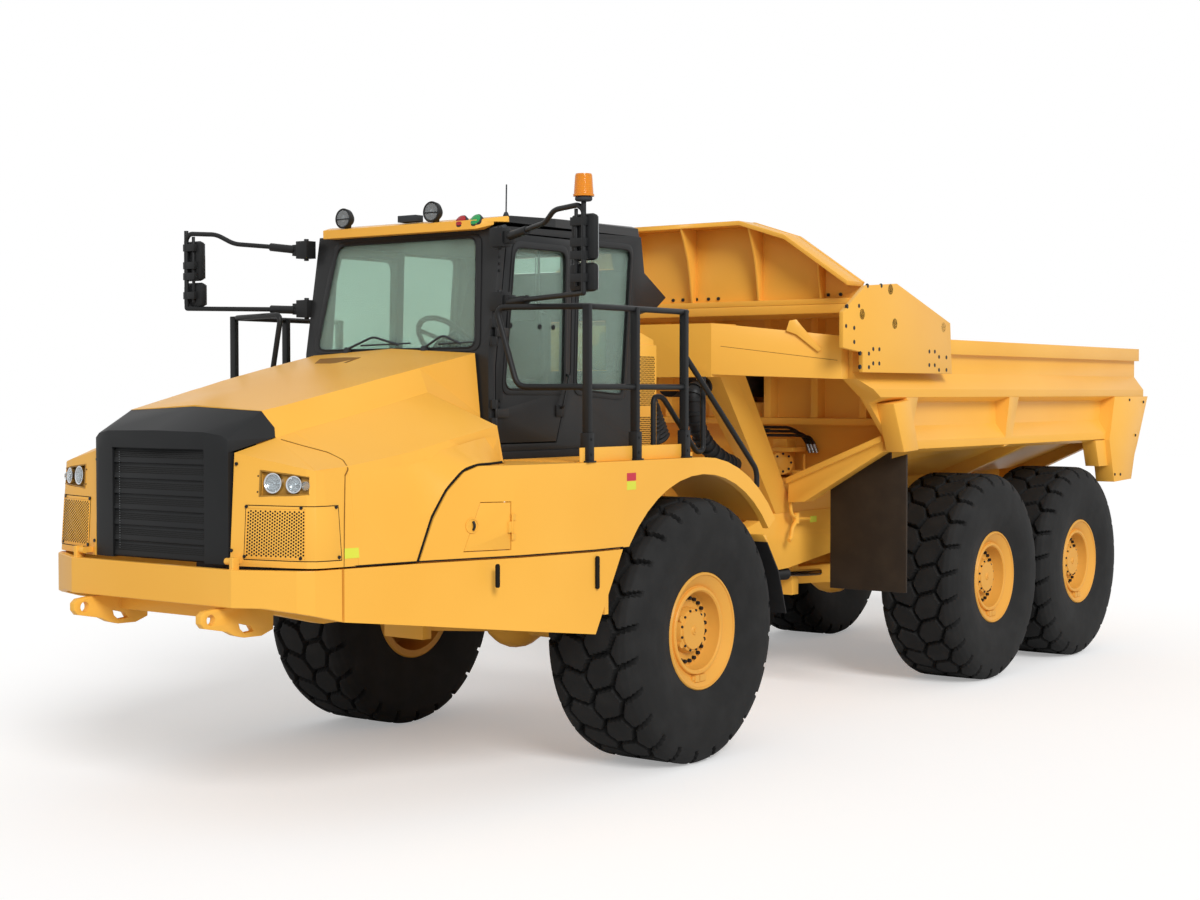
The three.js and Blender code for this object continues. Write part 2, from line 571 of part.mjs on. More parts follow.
function grow(outline, amount) {
  const points = outline.map(([a, b]) => new THREE.Vector2(a, b));
  if (THREE.ShapeUtils.area(points) < 0) points.reverse();
  return points.map((point, i) => {
    const before = points[(i + points.length - 1) % points.length];
    const after = points[(i + 1) % points.length];
    const n1 = point.clone().sub(before).normalize();
    const n2 = after.clone().sub(point).normalize();
    const out = new THREE.Vector2(n1.y + n2.y, -n1.x - n2.x).normalize();
    const reach = amount / Math.max(0.4, out.dot(new THREE.Vector2(n1.y, -n1.x)));
    return [point.x + out.x * reach, point.y + out.y * reach];
  });
}

// The windscreen leaves a post on each side, wider at the top.
const windscreenOutline = [[-1, 101, 2880], [1, 101, 2880], [1, 194, 3640], [-1, 194, 3640]]
  .map(([side, post, z]) => [side * (CAB.halfWidth - post), z]);

function cabShell() {
  const half = CAB.halfWidth;
  const outside = prism('x', cabProfile, -half, half);
  const inside = prism('x', cabInside, -half + CAB.wall, half - CAB.wall);
  const doorway = prism('x', grow(doorOutline, DOOR.gap), half - CAB.wall - 20, half + 100);
  const leftRear = prism('x', rearWindow, half - CAB.wall - 20, half + 100);
  const right = prism('x', rightWindow, -half - 100, -half + CAB.wall + 20);
  const rightRear = prism('x', rearWindow, -half - 100, -half + CAB.wall + 20);
  const screen = prism('y', windscreenOutline, -1500, -1100);
  const back = box(-620, 620, 200, 900, 2750, 3120);
  const backUpper = box(-620, 620, 300, 520, 3500, 3620);
  const open = cut(outside, inside, doorway, leftRear, right, rightRear, screen, back, backUpper);
  return join(open, ...doorHingeSeats());
}

function cabRoof() {
  const z = CAB.eaves + 30 + SEAT_GAP;
  const visor = convex([
    [-713, -1290, 3680], [713, -1290, 3680], [-846, -1140, z], [846, -1140, z], [-713, -1290, 3740],
    [713, -1290, 3740], [-846, -1090, 3775], [846, -1090, 3775], [-846, -600, 3790], [846, -600, 3790],
    [-846, -600, z], [846, -600, z], [-700, -1200, 3680], [700, -1200, 3680],
  ]);
  const top = convex([
    [-846, -610, z], [846, -610, z], [-846, -610, 3790], [846, -610, 3790], [-800, 370, 3806], [800, 370, 3806],
    [-840, 410, z], [840, 410, z], [-840, 395, 3790], [840, 395, 3790],
  ]);
  const seat = prism('x', [[-1400, 3000], [-1400, z], [600, z], [600, 3000]], -1000, 1000);
  const roof = join(visor, top);
  const under = roof.intersect(seat).intersect(box(-1000, 1000, -1400, -1200, 3000, z + 1));
  const upper = cut(roof, seat);
  return join(upper, under);
}

function windscreenGlass() {
  const slab = prism('x', [[CAB.front + 8, 2860], [-1188 + 8, CAB.eaves], [-1188 + 8 + GLASS * 2, CAB.eaves],
    [CAB.front + 8 + GLASS * 2, 2860]], -900, 900);
  return slab.intersect(prism('y', grow(windscreenOutline, -SEAT_GAP), -1500, -1000));
}

function sideGlass(outline, side) {
  const x = CAB.halfWidth - 30;
  const pane = prism('x', grow(outline, -SEAT_GAP), x - GLASS, x);
  return side > 0 ? pane : mirror(pane);
}

function doorSolid() {
  const side = CAB.halfWidth;
  const frame = prism('x', doorOutline, side - CAB.wall, side);
  const { hingeX, hingeY, hinges, knuckle } = DOOR;
  const leaf = (z) => join(rod([hingeX, hingeY, z], [hingeX, hingeY, z + knuckle], 12, 12),
    box(side + 2, hingeX + 6, hingeY, -1140, z, z + knuckle),
    box(side - 10, hingeX, -1180, -1140, z, z + knuckle));
  return join(cut(frame, prism('x', doorWindow, 0, 1000)), ...hinges.map(leaf));
}

function doorHingeSeats() {
  const { hingeX, hingeY, hinges, knuckle } = DOOR;
  const seat = (z0, z1) => join(rod([hingeX, hingeY, z0], [hingeX, hingeY, z1], 12, 12),
    prism('z', [[CAB.halfWidth - 2, hingeY - 50], [hingeX + 6, hingeY - 50], [hingeX + 6, hingeY - 4],
      [CAB.halfWidth - 2, hingeY - 4]], z0, z1));
  return hinges.flatMap((z) => [seat(z - knuckle, z - SEAT_GAP),
    seat(z + knuckle + SEAT_GAP, z + 2 * knuckle)]);
}

function seatSolid() {
  return join(
    box(-260, 260, -520, 0, 2560, 2700),
    convex([[-250, -60, 2600], [250, -60, 2600], [-250, 60, 2600], [250, 60, 2600],
      [-220, 110, 3250], [220, 110, 3250], [-220, 200, 3250], [220, 200, 3250]]),
    box(-200, 200, -440, -60, CAB.floor + 60 + SEAT_GAP, 2561),
  );
}

const STEERING_WHEEL = { y: -795, z: 2955, radius: 215, grip: 20, lean: -48 };

function dashboardSolid() {
  const half = CAB.halfWidth - CAB.wall - 92;
  const front = CAB.front + 60 + SEAT_GAP;
  const foot = CAB.floor + 60 + SEAT_GAP;
  const right = convex([[0, front, foot], [half, front, foot], [0, -1020, foot], [half, -1020, foot],
    [0, front, 2840], [half, front, 2840], [0, -1060, 2880], [half - 50, -1060, 2880],
    [0, front + 30, 2870], [half, front + 30, 2870]]);
  const column = rod([0, -1080, 2700], [0, -800, 2950], 45, 12);
  return join(both(right), column, steeringWheel());
}

function steeringWheel() {
  const { y, z, radius, grip, lean } = STEERING_WHEEL;
  const tilt = THREE.MathUtils.degToRad(lean);
  const ring = new THREE.TorusGeometry(radius, grip, 6, 18);
  ring.rotateX(tilt);
  ring.translate(0, y, z);
  const spokes = [0, 120, 240].map((degrees) => {
    const angle = THREE.MathUtils.degToRad(degrees);
    const end = new THREE.Vector3(Math.sin(angle), Math.cos(angle), 0).multiplyScalar(radius)
      .applyAxisAngle(new THREE.Vector3(1, 0, 0), tilt);
    return rod([0, y, z], [end.x, y + end.y, z + end.z], 16, 8);
  });
  return join(solid(ring), ...spokes);
}

// ---------------------------------------------------------------- deck fittings
function handrail() {
  const x = 1640;
  const topZ = 3140;
  const midZ = 2625;
  const rail = 22;
  const post = (y, top) => box(x - 26, x + 26, y - 20, y + 20, DECK_Z + SEAT_GAP, top);
  return join(
    post(-1290, topZ), post(-762, topZ), post(-185, topZ),
    pipe([[x, -185, topZ], [x, -1290, topZ], [1000, -1430, topZ + 8], [1150, -1395, midZ], [x, -1290, midZ],
      [x, -185, midZ]], rail),
    pipe([[x, -185, 2850], [x, 60, 2640], [x, 763, 2024], [x, 763, 1900]], rail),
    box(x - 40, x + 30, -800, -200, DECK_Z + SEAT_GAP, DECK_Z + 110),
  );
}

function coolerBox() {
  const side = CAB.halfWidth;
  return join(
    box(420, side, CAB.rear + 20, CAB.rear + 270, DECK_Z + 10 + SEAT_GAP, 2940),
    box(560, side - 30, CAB.rear + SEAT_GAP, CAB.rear + 30, 2300, 2900),
    prism('x', [[CAB.rear + 30, 2930], [CAB.rear + 60, 3040], [CAB.rear + 260, 2980], [CAB.rear + 260, 2930]],
      480, side - 20),
    box(430, side - 20, CAB.rear + 30, CAB.rear + 250, DECK_Z - DECK_PLATE - 40, DECK_Z + 20 + SEAT_GAP)
      .intersect(box(0, DECK_INNER_X - 2, 0, 1000, 0, 4000)),
  );
}

function mirrorArm() {
  const out = 1830;
  const y = -1580;
  const root = CAB.halfWidth + 20;
  const arm = [[root, -1262, 3615], [1150, -1330, 3640], [1450, -1480, 3700], [out, y, 3715], [out, y, 3230],
    [1150, -1340, 3215], [root, -1255, 3205]];
  return join(
    pipe(arm, 20),
    box(CAB.halfWidth + SEAT_GAP, root + 80, -1300, -1232, 3560, 3660),
    box(CAB.halfWidth + SEAT_GAP, root + 80, -1300, -1232, 3150, 3250),
    box(out - 110, out + 70, y + 15, y + 75, 3400, 3700),
    box(out - 90, out + 70, y + 15, y + 75, 3250, 3385),
    rod([out, y, 3700], [out, y, 3770], 14, 10),
  );
}

// ---------------------------------------------------------------- hitch and steering
function hitchHead() {
  const { earZ, radius, spindle, play } = hitchPin;
  const collarY = TRAILER.front - 260 - SEAT_GAP;
  const body = join(
    rod([0, HITCH.y, HITCH.z - earZ + SEAT_GAP], [0, HITCH.y, HITCH.z + earZ - RUN_GAP], 150, 24),
    rod([0, HITCH.y, HITCH.z], [0, TRAILER.front - 60, HITCH.z], spindle, 24),
    rod([0, collarY - 130, HITCH.z], [0, collarY, HITCH.z], 165, 24),
    both(steerLug(collarY)),
  );
  return cut(body, rod([0, HITCH.y, HITCH.z - 400], [0, HITCH.y, HITCH.z + 400], radius + play, 24));
}

// The arm that a steering rod's eye pulls on, with an ear above and below the eye.
function steerLug(collarY) {
  const { rearX, rearY, z } = steer;
  const outline = [[rearX - 130, collarY - 110], [rearX + 40, rearY - 60], [rearX + 70, rearY],
    [rearX + 40, rearY + 60], [rearX - 130, collarY]];
  const ear = (z0, z1) => prism('z', outline, z0, z1);
  const arm = box(80, rearX - 90, collarY - 110, collarY, z - 100, z + 100);
  return join(arm, ear(z - 100, z - 62), ear(z + 62, z + 100));
}

// Gives the point at a distance from the front pin towards the rear one.
function alongSteer() {
  const { x, frontY, z, rearX, rearY } = steer;
  const angle = Math.atan2(rearX - x, rearY - frontY);
  return (distance) => [x + Math.sin(angle) * distance, frontY + Math.cos(angle) * distance, z];
}

function steerBarrel() {
  const { x, frontY, z, barrel } = steer;
  const reach = alongSteer();
  const eye = rod([x, frontY, z - 62 + SEAT_GAP], [x, frontY, z + 62 - SEAT_GAP], 62, 20);
  const body = join(rod(reach(90), reach(barrel), 72, 16), eye, rod(reach(0), reach(100), 50, 12));
  const pinHole = rod([x, frontY, z - 200], [x, frontY, z + 200], 36, 16);
  return cut(body, pinHole, rod(reach(115), reach(barrel + 50), 41, 16));
}

function steerRod() {
  const { rearX, rearY, z } = steer;
  const reach = alongSteer();
  const length = Math.hypot(rearX - steer.x, rearY - steer.frontY);
  return join(rod(reach(length - steer.rod), reach(length - 20), 40.4, 16),
    rod([rearX, rearY, z - 50], [rearX, rearY, z + 50], 55, 20));
}

// ---------------------------------------------------------------- trailer frame
function trailerFrame() {
  const { halfWidth, rail, front, back, bottom, top } = TRAILER;
  const inner = halfWidth - rail;
  const half = join(
    prism('x', [[front, bottom - 60], [3000, bottom - 40], [3900, bottom + 60], [back, bottom + 60],
      [back, top], [front + 500, top], [front, top - 120]], inner, halfWidth),
    box(0, halfWidth, front - 40, front + 60, HITCH.z - 200, top - 130),
    box(0, inner + 10, 3900, 4020, bottom + 100, top - 20),
    box(0, inner + 10, 5690, 5810, bottom + 100, top - 20),
    box(0, inner + 10, back - 100, back, bottom + 60, top),
    trailerHangers(),
    box(430, 560, 3100, 7300, top - 1, BODY.floor - BODY.plate - SEAT_GAP),
  );
  const tube = cut(rod([0, front - 260, HITCH.z], [0, front + 30, HITCH.z], 210, 24),
    rod([0, front - 400, HITCH.z], [0, front - 50, HITCH.z], hitchPin.spindle + hitchPin.play, 24));
  return join(both(half), tube);
}

function trailerHangers() {
  const seatZ = TRAILER.bottom + 80;
  const pads = [MID_AXLE_Y, REAR_AXLE_Y].map((y) => box(TRAILER.halfWidth - TRAILER.rail, TRAILER.halfWidth + 40,
    y - 150, y + 150, seatZ - 30, seatZ + 60));
  const tongueSeats = box(0, 470, tongueMid.y - 110, tongueMid.y - SEAT_GAP, 820, TRAILER.bottom + 60);
  const rearSeat = box(0, 470, tongueRear.y + SEAT_GAP, tongueRear.y + 100, 880, TRAILER.bottom + 90);
  const beam = convex([[600, 5500, 1000], [600, 6000, 1000], [600, 5500, 1200], [600, 6000, 1200],
    [660, 5500, 1000], [660, 6000, 1000], [660, 5500, 1200], [660, 6000, 1200],
    [600, 5100, 1120], [660, 5100, 1120], [600, 6400, 1120], [660, 6400, 1120],
    [600, 5100, 1190], [660, 5100, 1190], [600, 6400, 1190], [660, 6400, 1190]]);
  return join(...pads, tongueSeats, rearSeat, beam, box(560, 620, 5600, 5900, 1050, 1250));
}

// The raised front portal: a head beam on two sloping legs, with a box beam out to each
// front corner of the load body.
function portal() {
  const headFront = 1400;
  const headBack = 1800;
  const low = 2710;
  const high = 3130;
  const leg = convex([
    [560, 1560, low + 20], [800, 1560, low + 20], [560, 1940, low + 20], [800, 1940, low + 20],
    [450, 2790, TRAILER.top + SEAT_GAP], [575, 2790, TRAILER.top + SEAT_GAP], [450, 3090, TRAILER.top + SEAT_GAP],
    [575, 3090, TRAILER.top + SEAT_GAP],
  ]);
  const head = convex([[0, headFront, low], [0, headFront, high], [0, headBack, low], [0, headBack, high],
    [800, headFront + 40, low], [800, headFront + 40, high], [800, headBack, low], [800, headBack, high]]);
  const arm = convex([
    [700, headFront + 60, low + 20], [700, headFront + 60, high], [800, headFront + 40, low + 20],
    [800, headFront + 40, high], [700, headBack + 120, low + 20], [700, headBack + 120, high],
    [1620, 2045, 2695], [1620, 2045, 3030], [1500, 2160, 2695], [1500, 2160, 3030],
    [1620, 2160, 2695], [1620, 2160, 3030],
  ]);
  const ear = box(80, 120, headBack - 100, RAM.frontY + 70, RAM.z - 70, RAM.z + 180);
  const rib = prism('x', [[headFront - 60, high - 30], [headFront + 20, high], [headFront + 20, low - 120],
    [headFront - 40, low - 60]], 85, 115);
  const pin = rod([0, RAM.frontY, RAM.z], [125, RAM.frontY, RAM.z], RAM.pin, 16);
  return both(join(leg, head, arm, ear, rib, pin));
}

// ---------------------------------------------------------------- load body
const skinZ = (x) => BODY.floor + BODY.slope * Math.max(0, x - BODY.floorHalf);

function bodyFloor() {
  const { floorHalf, halfInner, floor, plate, chineY, back } = BODY;
  const edge = halfInner - SEAT_GAP;
  const half = [[0, floor], [floorHalf, floor], [edge, skinZ(edge)], [edge, skinZ(edge) - plate],
    [floorHalf, floor - plate], [0, floor - plate]];
  const sheet = prism('y', half, chineY - 40, TAILGATE.hingeY - 90);
  const beam = prism('y', [[0, floor - plate + 5], [floorHalf, floor - plate + 5], [edge, skinZ(edge) - plate + 5],
    [edge, skinZ(edge) - plate - 80], [820, 1665], [480, 1640], [0, 1640]], chineY, chineY + CHINE_DEPTH);
  const rib = [[0, floor - plate + 5], [floorHalf, floor - plate + 5], [edge, skinZ(edge) - plate + 5],
    [edge, skinZ(edge) - plate - 90], [700, 1690], [0, 1690]];
  const ribs = [5660, 7480].map((y) => prism('y', rib, y, y + 110));
  const full = join(sheet, beam, ...ribs);
  const sills = box(425, 565, 3000, 7400, 1500, BODY.floor - BODY.plate);
  const portalGap = box(-1, BODY.floorHalf + 40, 2500, 3110, 1500, 2000);
  return both(cut(full, sills, portalGap));
}

const sideSection = [
  [BODY.halfInner, BODY.rimZ], [1700, BODY.rimZ], [1700, 2915], [1650, 2915], [1650, 2750],
  [BODY.noseX, 2615], [BODY.noseX, 2550], [1610, 2505], [1610, 2310], [1700, 2190], [1700, 2120],
  [BODY.halfInner, 2085],
];

function bodySide() {
  const { front, back, halfInner } = BODY;
  const wall = prism('y', sideSection, front, back);
  const frontCut = prism('x', [[front - 100, 3100], [front + 100, 2700], [2460, 2548], [3020, 2080],
    [3020, 1900], [front - 200, 1900], [front - 200, 3100]], 1000, 2000);
  const railCut = box(1000, 2000, front - 10, front + 110, 2600, 3200);
  const gussets = [2900, 4900].map((y) => convex([[1600, y, 2520], [BODY.noseX, y, 2548], [1690, y + 20, 2100],
    [1600, y + 20, 2100], [1600, y + 200, 2520], [BODY.noseX, y + 200, 2548], [1690, y + 160, 2120],
    [1600, y + 160, 2100]]));
  const cheek = prism('x', [[7430, 2548], [8350, 2548], [8060, 2050], [7990, 1950], [7900, 1700], [7430, 1685],
    [7300, 2110]], halfInner, BODY.noseX);
  const cheekFoot = prism('x', [[7050, 2110], [7430, 2110], [7430, 1850], [7150, 1850]], halfInner, 1700);
  const nose = cut(wall, frontCut, railCut);
  return join(nose, ...gussets, cheek, cheekFoot);
}

function splashFlap() {
  const y = BODY.chineY + CHINE_DEPTH + SEAT_GAP;
  return prism('y', [[FLAP.inner, FLAP.bottom], [FLAP.outer, FLAP.bottom], [FLAP.outer, 2080], [1555, 2040],
    [1555, 2120], [FLAP.inner, 1800]], y, y + FLAP.wall);
}

function tailgateSolid() {
  const { hingeY, hingeZ, plate, kneeY, kneeZ, top } = TAILGATE;
  const side = [[hingeY - 20, hingeZ - 70], [hingeY + 70, hingeZ - 70], [kneeY + plate, kneeZ], [kneeY + plate, top],
    [kneeY, top], [kneeY, kneeZ + 20], [hingeY - 20, hingeZ + 20]];
  const width = BODY.halfInner - RUN_GAP;
  const panel = prism('x', side, -width, width);
  const below = prism('y', [[-2000, 0], [-2000, skinZ(2000) + 8], [-BODY.floorHalf, BODY.floor - 120],
    [BODY.floorHalf, BODY.floor - 120], [2000, skinZ(2000) + 8], [2000, 0]], 7000, 9000);
  const face = kneeY + plate;
  const rib = [[hingeY + 120, hingeZ + 60], [face, kneeZ + 60], [face, kneeZ + 350], [face + 15, kneeZ + 340],
    [face + 15, kneeZ], [hingeY + 180, hingeZ + 90]];
  const ribs = [-1200, -600, 0, 600, 1200].map((x) => prism('x', rib, x - 50, x + 50));
  const boss = rod([width - 60, hingeY, hingeZ], [BODY.halfInner - SEAT_GAP, hingeY, hingeZ], 38, 20);
  const arm = prism('x', side, width - 48, width);
  return join(cut(join(panel, ...ribs), below), both(join(arm, boss)));
}

// ---------------------------------------------------------------- ejector
function ejectorSection(inset) {
  const edge = BODY.halfInner - inset;
  return [[0, BODY.floor + inset], [BODY.floorHalf - inset, BODY.floor + inset], [edge, skinZ(edge) + inset * 1.1],
    [edge, 3300], [0, 3300]];
}

function ejectorBlade() {
  const { backY, faceY, clearance } = EJECTOR;
  const section = ejectorSection(clearance);
  const plate = prism('y', section, backY, backY + 60);
  const shelfZ = 2370;
  const foot = prism('x', [[backY + 50, shelfZ], [faceY, BODY.floor + 150], [faceY, BODY.floor - 100],
    [backY + 10, BODY.floor - 100]], 0, 1500).intersect(prism('y', section, backY, faceY));
  const ribs = [250, 720, 1190].map((x) => box(x, x + 70, backY - 130, backY + 5, shelfZ, 3290));
  const shelf = box(0, 1500, backY - 140, backY + 5, shelfZ - 60, shelfZ);
  const beam = box(0, BODY.halfInner - clearance, GUARD_Y - 70, backY + 10, 3225, 3300);
  const house = box(0, 230, backY + 10, faceY, RAM.z - 230, RAM.z + 230);
  const room = box(-170, 170, backY - 200, RAM_EYE_Y + SEAT_GAP, RAM.z - 170, RAM.z + 170);
  return cut(both(join(plate, foot, ...ribs, shelf, beam, house)), room);
}

function ejectorGuard() {
  const y = GUARD_Y;
  const low = 3300 + SEAT_GAP;
  const outline = [[0, 4000], [578, 4000], [1010, 3863], [1595, 3471], [1500, low], [0, low]];
  const plate = prism('y', outline, y, y + 40);
  const flange = cut(prism('y', [[0, 4000], [578, 4000], [1010, 3863], [1595, 3471], [1560, 3440], [990, 3822],
    [570, 3962], [0, 3962]], y - 240, y + 5));
  const foot = box(0, 1500, y - 70, y + 40, low, low + 45);
  const ribs = [130, 560].map((x) => prism('x', [[y + 10, 3975], [y - 220, 3975], [y - 120, 3800], [y - 70, 3600],
    [y - 60, low + 10], [y + 10, low + 10]], x, x + 22));
  return both(join(plate, flange, foot, ...ribs));
}

function carriage() {
  const rail = BODY.rimZ + RUN_GAP;
  const capY = GUARD_Y + 40 + SEAT_GAP;
  const plate = prism('x', [[1760, 3204], [2119, 3423], [2633, 3460], [3595, 3172], [3632, 2745], [2070, 2745],
    [2070, 2900], [1760, 2930]], 1757, 1797);
  const cap = prism('x', [[capY, rail], [capY, 3440], [2633, 3455], [3400, 3225], [3400, rail]],
    BODY.halfInner - EJECTOR.clearance + SEAT_GAP, 1760);
  const rollerZ = BODY.rimZ + 50 + SEAT_GAP;
  const rollers = [2640, 3260].map((y) => rod([1580, y, rollerZ], [1690, y, rollerZ], 50, 16));
  return join(plate, cap, ...rollers);
}

// The telescopic ram between the portal and the blade: stage 0 is the barrel and the last
// stage is the solid rod.
const RAM_STAGES = ['ram_barrel', 'ram_sleeve_1', 'ram_sleeve_2', 'ram_rod'];

function ramStage(stage) {
  const outer = RAM.radius - stage * (RAM.wall + 0.5);
  const start = RAM.start + stage * RAM.step;
  const last = stage === RAM_STAGES.length - 1;
  const end = last ? RAM_EYE_Y : start + RAM.length;
  const body = rod([0, start, RAM.z], [0, end, RAM.z], outer, 24);
  if (stage === 0) return join(hollow(body, start, end, outer), ramEye());
  return last ? body : hollow(body, start, end, outer);
}

function hollow(body, start, end, outer) {
  return cut(body, rod([0, start + 25, RAM.z], [0, end + 100, RAM.z], outer - RAM.wall, 24));
}

function ramEye() {
  const { frontY, z, pin } = RAM;
  const eye = join(rod([-80 + SEAT_GAP, frontY, z], [80 - SEAT_GAP, frontY, z], 66, 20),
    box(-60, 60, frontY, RAM.start + 5, z - 60, z + 60));
  return cut(eye, rod([-90, frontY, z], [90, frontY, z], pin + 1.5, 16));
}

// ---------------------------------------------------------------- assembly
function build() {
  addWheels();
  add('tractor_frame', tractorFrame(), paint);
  add('front_axle', axleSolid(0, tongueFront, FRAME.rearBottom - SEAT_GAP), ironGrey);
  add('engine', engineBlock(), ironGrey);
  add('bumper', bumperSolid(), paint);
  add('fender_left', fenderSolid(), paint);
  add('fender_right', mirror(fenderSolid()), paint);
  add('hood', hoodShell(), paint);
  add('grille_surround', grilleSurround(), black);
  add('grille', grilleSolid(), black);
  add('cab_shell', cabShell(), black);
  add('cab_roof', cabRoof(), paint);
  add('windscreen', windscreenGlass(), glassTint);
  add('side_glass_left', sideGlass(rearWindow, 1), glassTint);
  add('side_glass_right', sideGlass(rightWindow, -1), glassTint);
  add('cab_door', doorSolid(), black);
  add('door_glass', sideGlass(doorWindow, 1), glassTint);
  add('service_door', serviceDoor(), paint);
  add('seat', seatSolid(), trim);
  add('dashboard', dashboardSolid(), trim);
  add('handrail_left', handrail(), black);
  add('handrail_right', mirror(handrail()), black);
  add('cooler_box', coolerBox(), paint);
  add('mirror_left', mirrorArm(), black);
  add('mirror_right', mirror(mirrorArm()), black);
  add('hitch_head', hitchHead(), paint);
  add('steer_barrel_left', steerBarrel(), black);
  add('steer_barrel_right', mirror(steerBarrel()), black);
  add('steer_rod_left', steerRod(), chrome);
  add('steer_rod_right', mirror(steerRod()), chrome);
  add('trailer_frame', trailerFrame(), paint);
  add('front_portal', portal(), paint);
  add('mid_axle', axleSolid(MID_AXLE_Y, tongueMid, TRAILER.bottom + 50 - SEAT_GAP), ironGrey);
  add('rear_axle', axleSolid(REAR_AXLE_Y, tongueRear, TRAILER.bottom + 50 - SEAT_GAP), ironGrey);
  RAM_STAGES.forEach((name, stage) => add(name, ramStage(stage), stage ? chrome : black));
  add('body_floor', bodyFloor(), paint);
  add('body_side_left', bodySide(), paint);
  add('body_side_right', mirror(bodySide()), paint);
  add('splash_flap_left', splashFlap(), rubber);
  add('splash_flap_right', mirror(splashFlap()), rubber);
  add('tailgate', tailgateSolid(), paint);
  add('ejector_blade', ejectorBlade(), paint);
  add('ejector_guard', ejectorGuard(), paint);
  add('carriage_left', carriage(), paint);
  add('carriage_right', mirror(carriage()), paint);
}

build();

export default truck;
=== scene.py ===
"""Looks of the articulated dump truck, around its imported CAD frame.

Sizes are in millimetres, with Y measured rearwards from the front axle, as in the part's
source. placed() turns them into the frame's metres.
"""
import json
import math

import bmesh
import bpy
import numpy as np
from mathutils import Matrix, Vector


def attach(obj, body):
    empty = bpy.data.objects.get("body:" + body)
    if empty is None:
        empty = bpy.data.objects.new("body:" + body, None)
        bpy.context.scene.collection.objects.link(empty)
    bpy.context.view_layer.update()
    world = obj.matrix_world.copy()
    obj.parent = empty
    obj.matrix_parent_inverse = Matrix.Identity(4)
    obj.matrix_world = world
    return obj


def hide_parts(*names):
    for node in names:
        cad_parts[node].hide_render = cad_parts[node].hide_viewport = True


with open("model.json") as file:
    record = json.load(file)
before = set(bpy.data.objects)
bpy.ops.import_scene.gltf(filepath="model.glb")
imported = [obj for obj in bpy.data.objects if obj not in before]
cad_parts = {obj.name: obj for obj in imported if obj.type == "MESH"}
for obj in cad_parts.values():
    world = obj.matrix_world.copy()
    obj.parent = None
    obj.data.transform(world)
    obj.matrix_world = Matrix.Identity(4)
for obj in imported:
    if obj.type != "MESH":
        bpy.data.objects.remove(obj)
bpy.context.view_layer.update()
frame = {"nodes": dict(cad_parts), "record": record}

MM = 0.001
AXLE_TO_MIDDLE = 2375            # from the front axle back to the frame's middle
TRACK = 2687
HUB_Z = 928
AXLES = {"front": 0, "mid": 4765, "rear": 6731}
DECK_Z = 2140
SIDES = {"left": 1, "right": -1}
BODY_OF = {node: body for body, nodes in frame["record"]["behaviour"]["bodies"].items() for node in nodes}
SLOT_OF = {part["node"]: part["material_slot"] for part in frame["record"]["subparts"]}


# ---------------------------------------------------------------- materials
def linear(hex_colour):
    """An sRGB hex colour as linear red, green, blue and alpha."""
    values = [int(hex_colour[i:i + 2], 16) / 255 for i in (1, 3, 5)]
    return tuple(v / 12.92 if v <= 0.04045 else ((v + 0.055) / 1.055) ** 2.4 for v in values) + (1.0,)


def add_node(tree, kind, inputs=None, **settings):
    """Adds a node, sets it up, and gives each input its value or its link."""
    made = tree.nodes.new(kind)
    for name, value in settings.items():
        setattr(made, name, value)
    for socket, value in (inputs or {}).items():
        if isinstance(value, bpy.types.NodeSocket):
            tree.links.new(value, made.inputs[socket])
        else:
            made.inputs[socket].default_value = value
    return made


def start_material(name):
    """An empty material, its nodes, and the place on the truck that its patterns follow."""
    material = bpy.data.materials.new(name)
    material.use_nodes = True
    tree = material.node_tree
    tree.nodes.clear()
    place = add_node(tree, "ShaderNodeTexCoord").outputs["Object"]
    return material, tree, place


# A Mix node's colour sockets share their names with other sockets, so they go by number.
MIX_FACTOR, MIX_FIRST, MIX_SECOND, MIX_RESULT = 0, 6, 7, 2


def close_material(tree, pattern, colours, relief=None, depth_mm=0.0, strength=1.0, **sockets):
    """Mixes two colours by a pattern, raises the relief by its depth, and adds the shader."""
    first, second = map(linear, colours)
    mix = add_node(tree, "ShaderNodeMix", {MIX_FACTOR: pattern, MIX_FIRST: first, MIX_SECOND: second},
                   data_type="RGBA")
    shader = add_node(tree, "ShaderNodeBsdfPrincipled", {"Base Color": mix.outputs[MIX_RESULT], **sockets})
    if relief is not None:
        bump = add_node(tree, "ShaderNodeBump", {
            "Height": relief, "Distance": depth_mm * MM, "Strength": strength})
        tree.links.new(bump.outputs["Normal"], shader.inputs["Normal"])
    add_node(tree, "ShaderNodeOutputMaterial", {"Surface": shader.outputs["BSDF"]})


def sprayed_enamel(name, colour, shade, roughness=0.36, coat=0.05, gloss=0.14):
    """Baked two-pack enamel sprayed on steel plate: a clear gloss over a faint orange peel,
    with large soft patches where the coat is thinner."""
    material, tree, place = start_material(name)
    clouds = add_node(tree, "ShaderNodeTexNoise", {
        "Vector": place, "Scale": 1 / (900 * MM), "Detail": 2.0})
    patches = add_node(tree, "ShaderNodeMapRange", {
        "Value": clouds.outputs["Fac"], "From Min": 0.35, "From Max": 0.7})
    peel = add_node(tree, "ShaderNodeTexNoise", {
        "Vector": place, "Scale": 1 / (14 * MM), "Detail": 3.0})
    close_material(tree, patches.outputs["Result"], (colour, shade), peel.outputs["Fac"], 0.25, 0.35,
                   Roughness=roughness,
                   **{"Coat Weight": coat, "Coat Roughness": 0.14, "Specular IOR Level": gloss})
    return material


def moulded_plastic(name, colour, shade, roughness=0.55):
    """Moulded ABS with a leather-like grain: soft wide highlights broken by the grain."""
    material, tree, place = start_material(name)
    grain = add_node(tree, "ShaderNodeTexVoronoi", {"Vector": place, "Scale": 1 / (5 * MM)})
    clouds = add_node(tree, "ShaderNodeTexNoise", {
        "Vector": place, "Scale": 1 / (250 * MM), "Detail": 2.0})
    close_material(tree, clouds.outputs["Fac"], (colour, shade), grain.outputs["Distance"], 0.3, 0.4,
                   Roughness=roughness, **{"Specular IOR Level": 0.22})
    return material


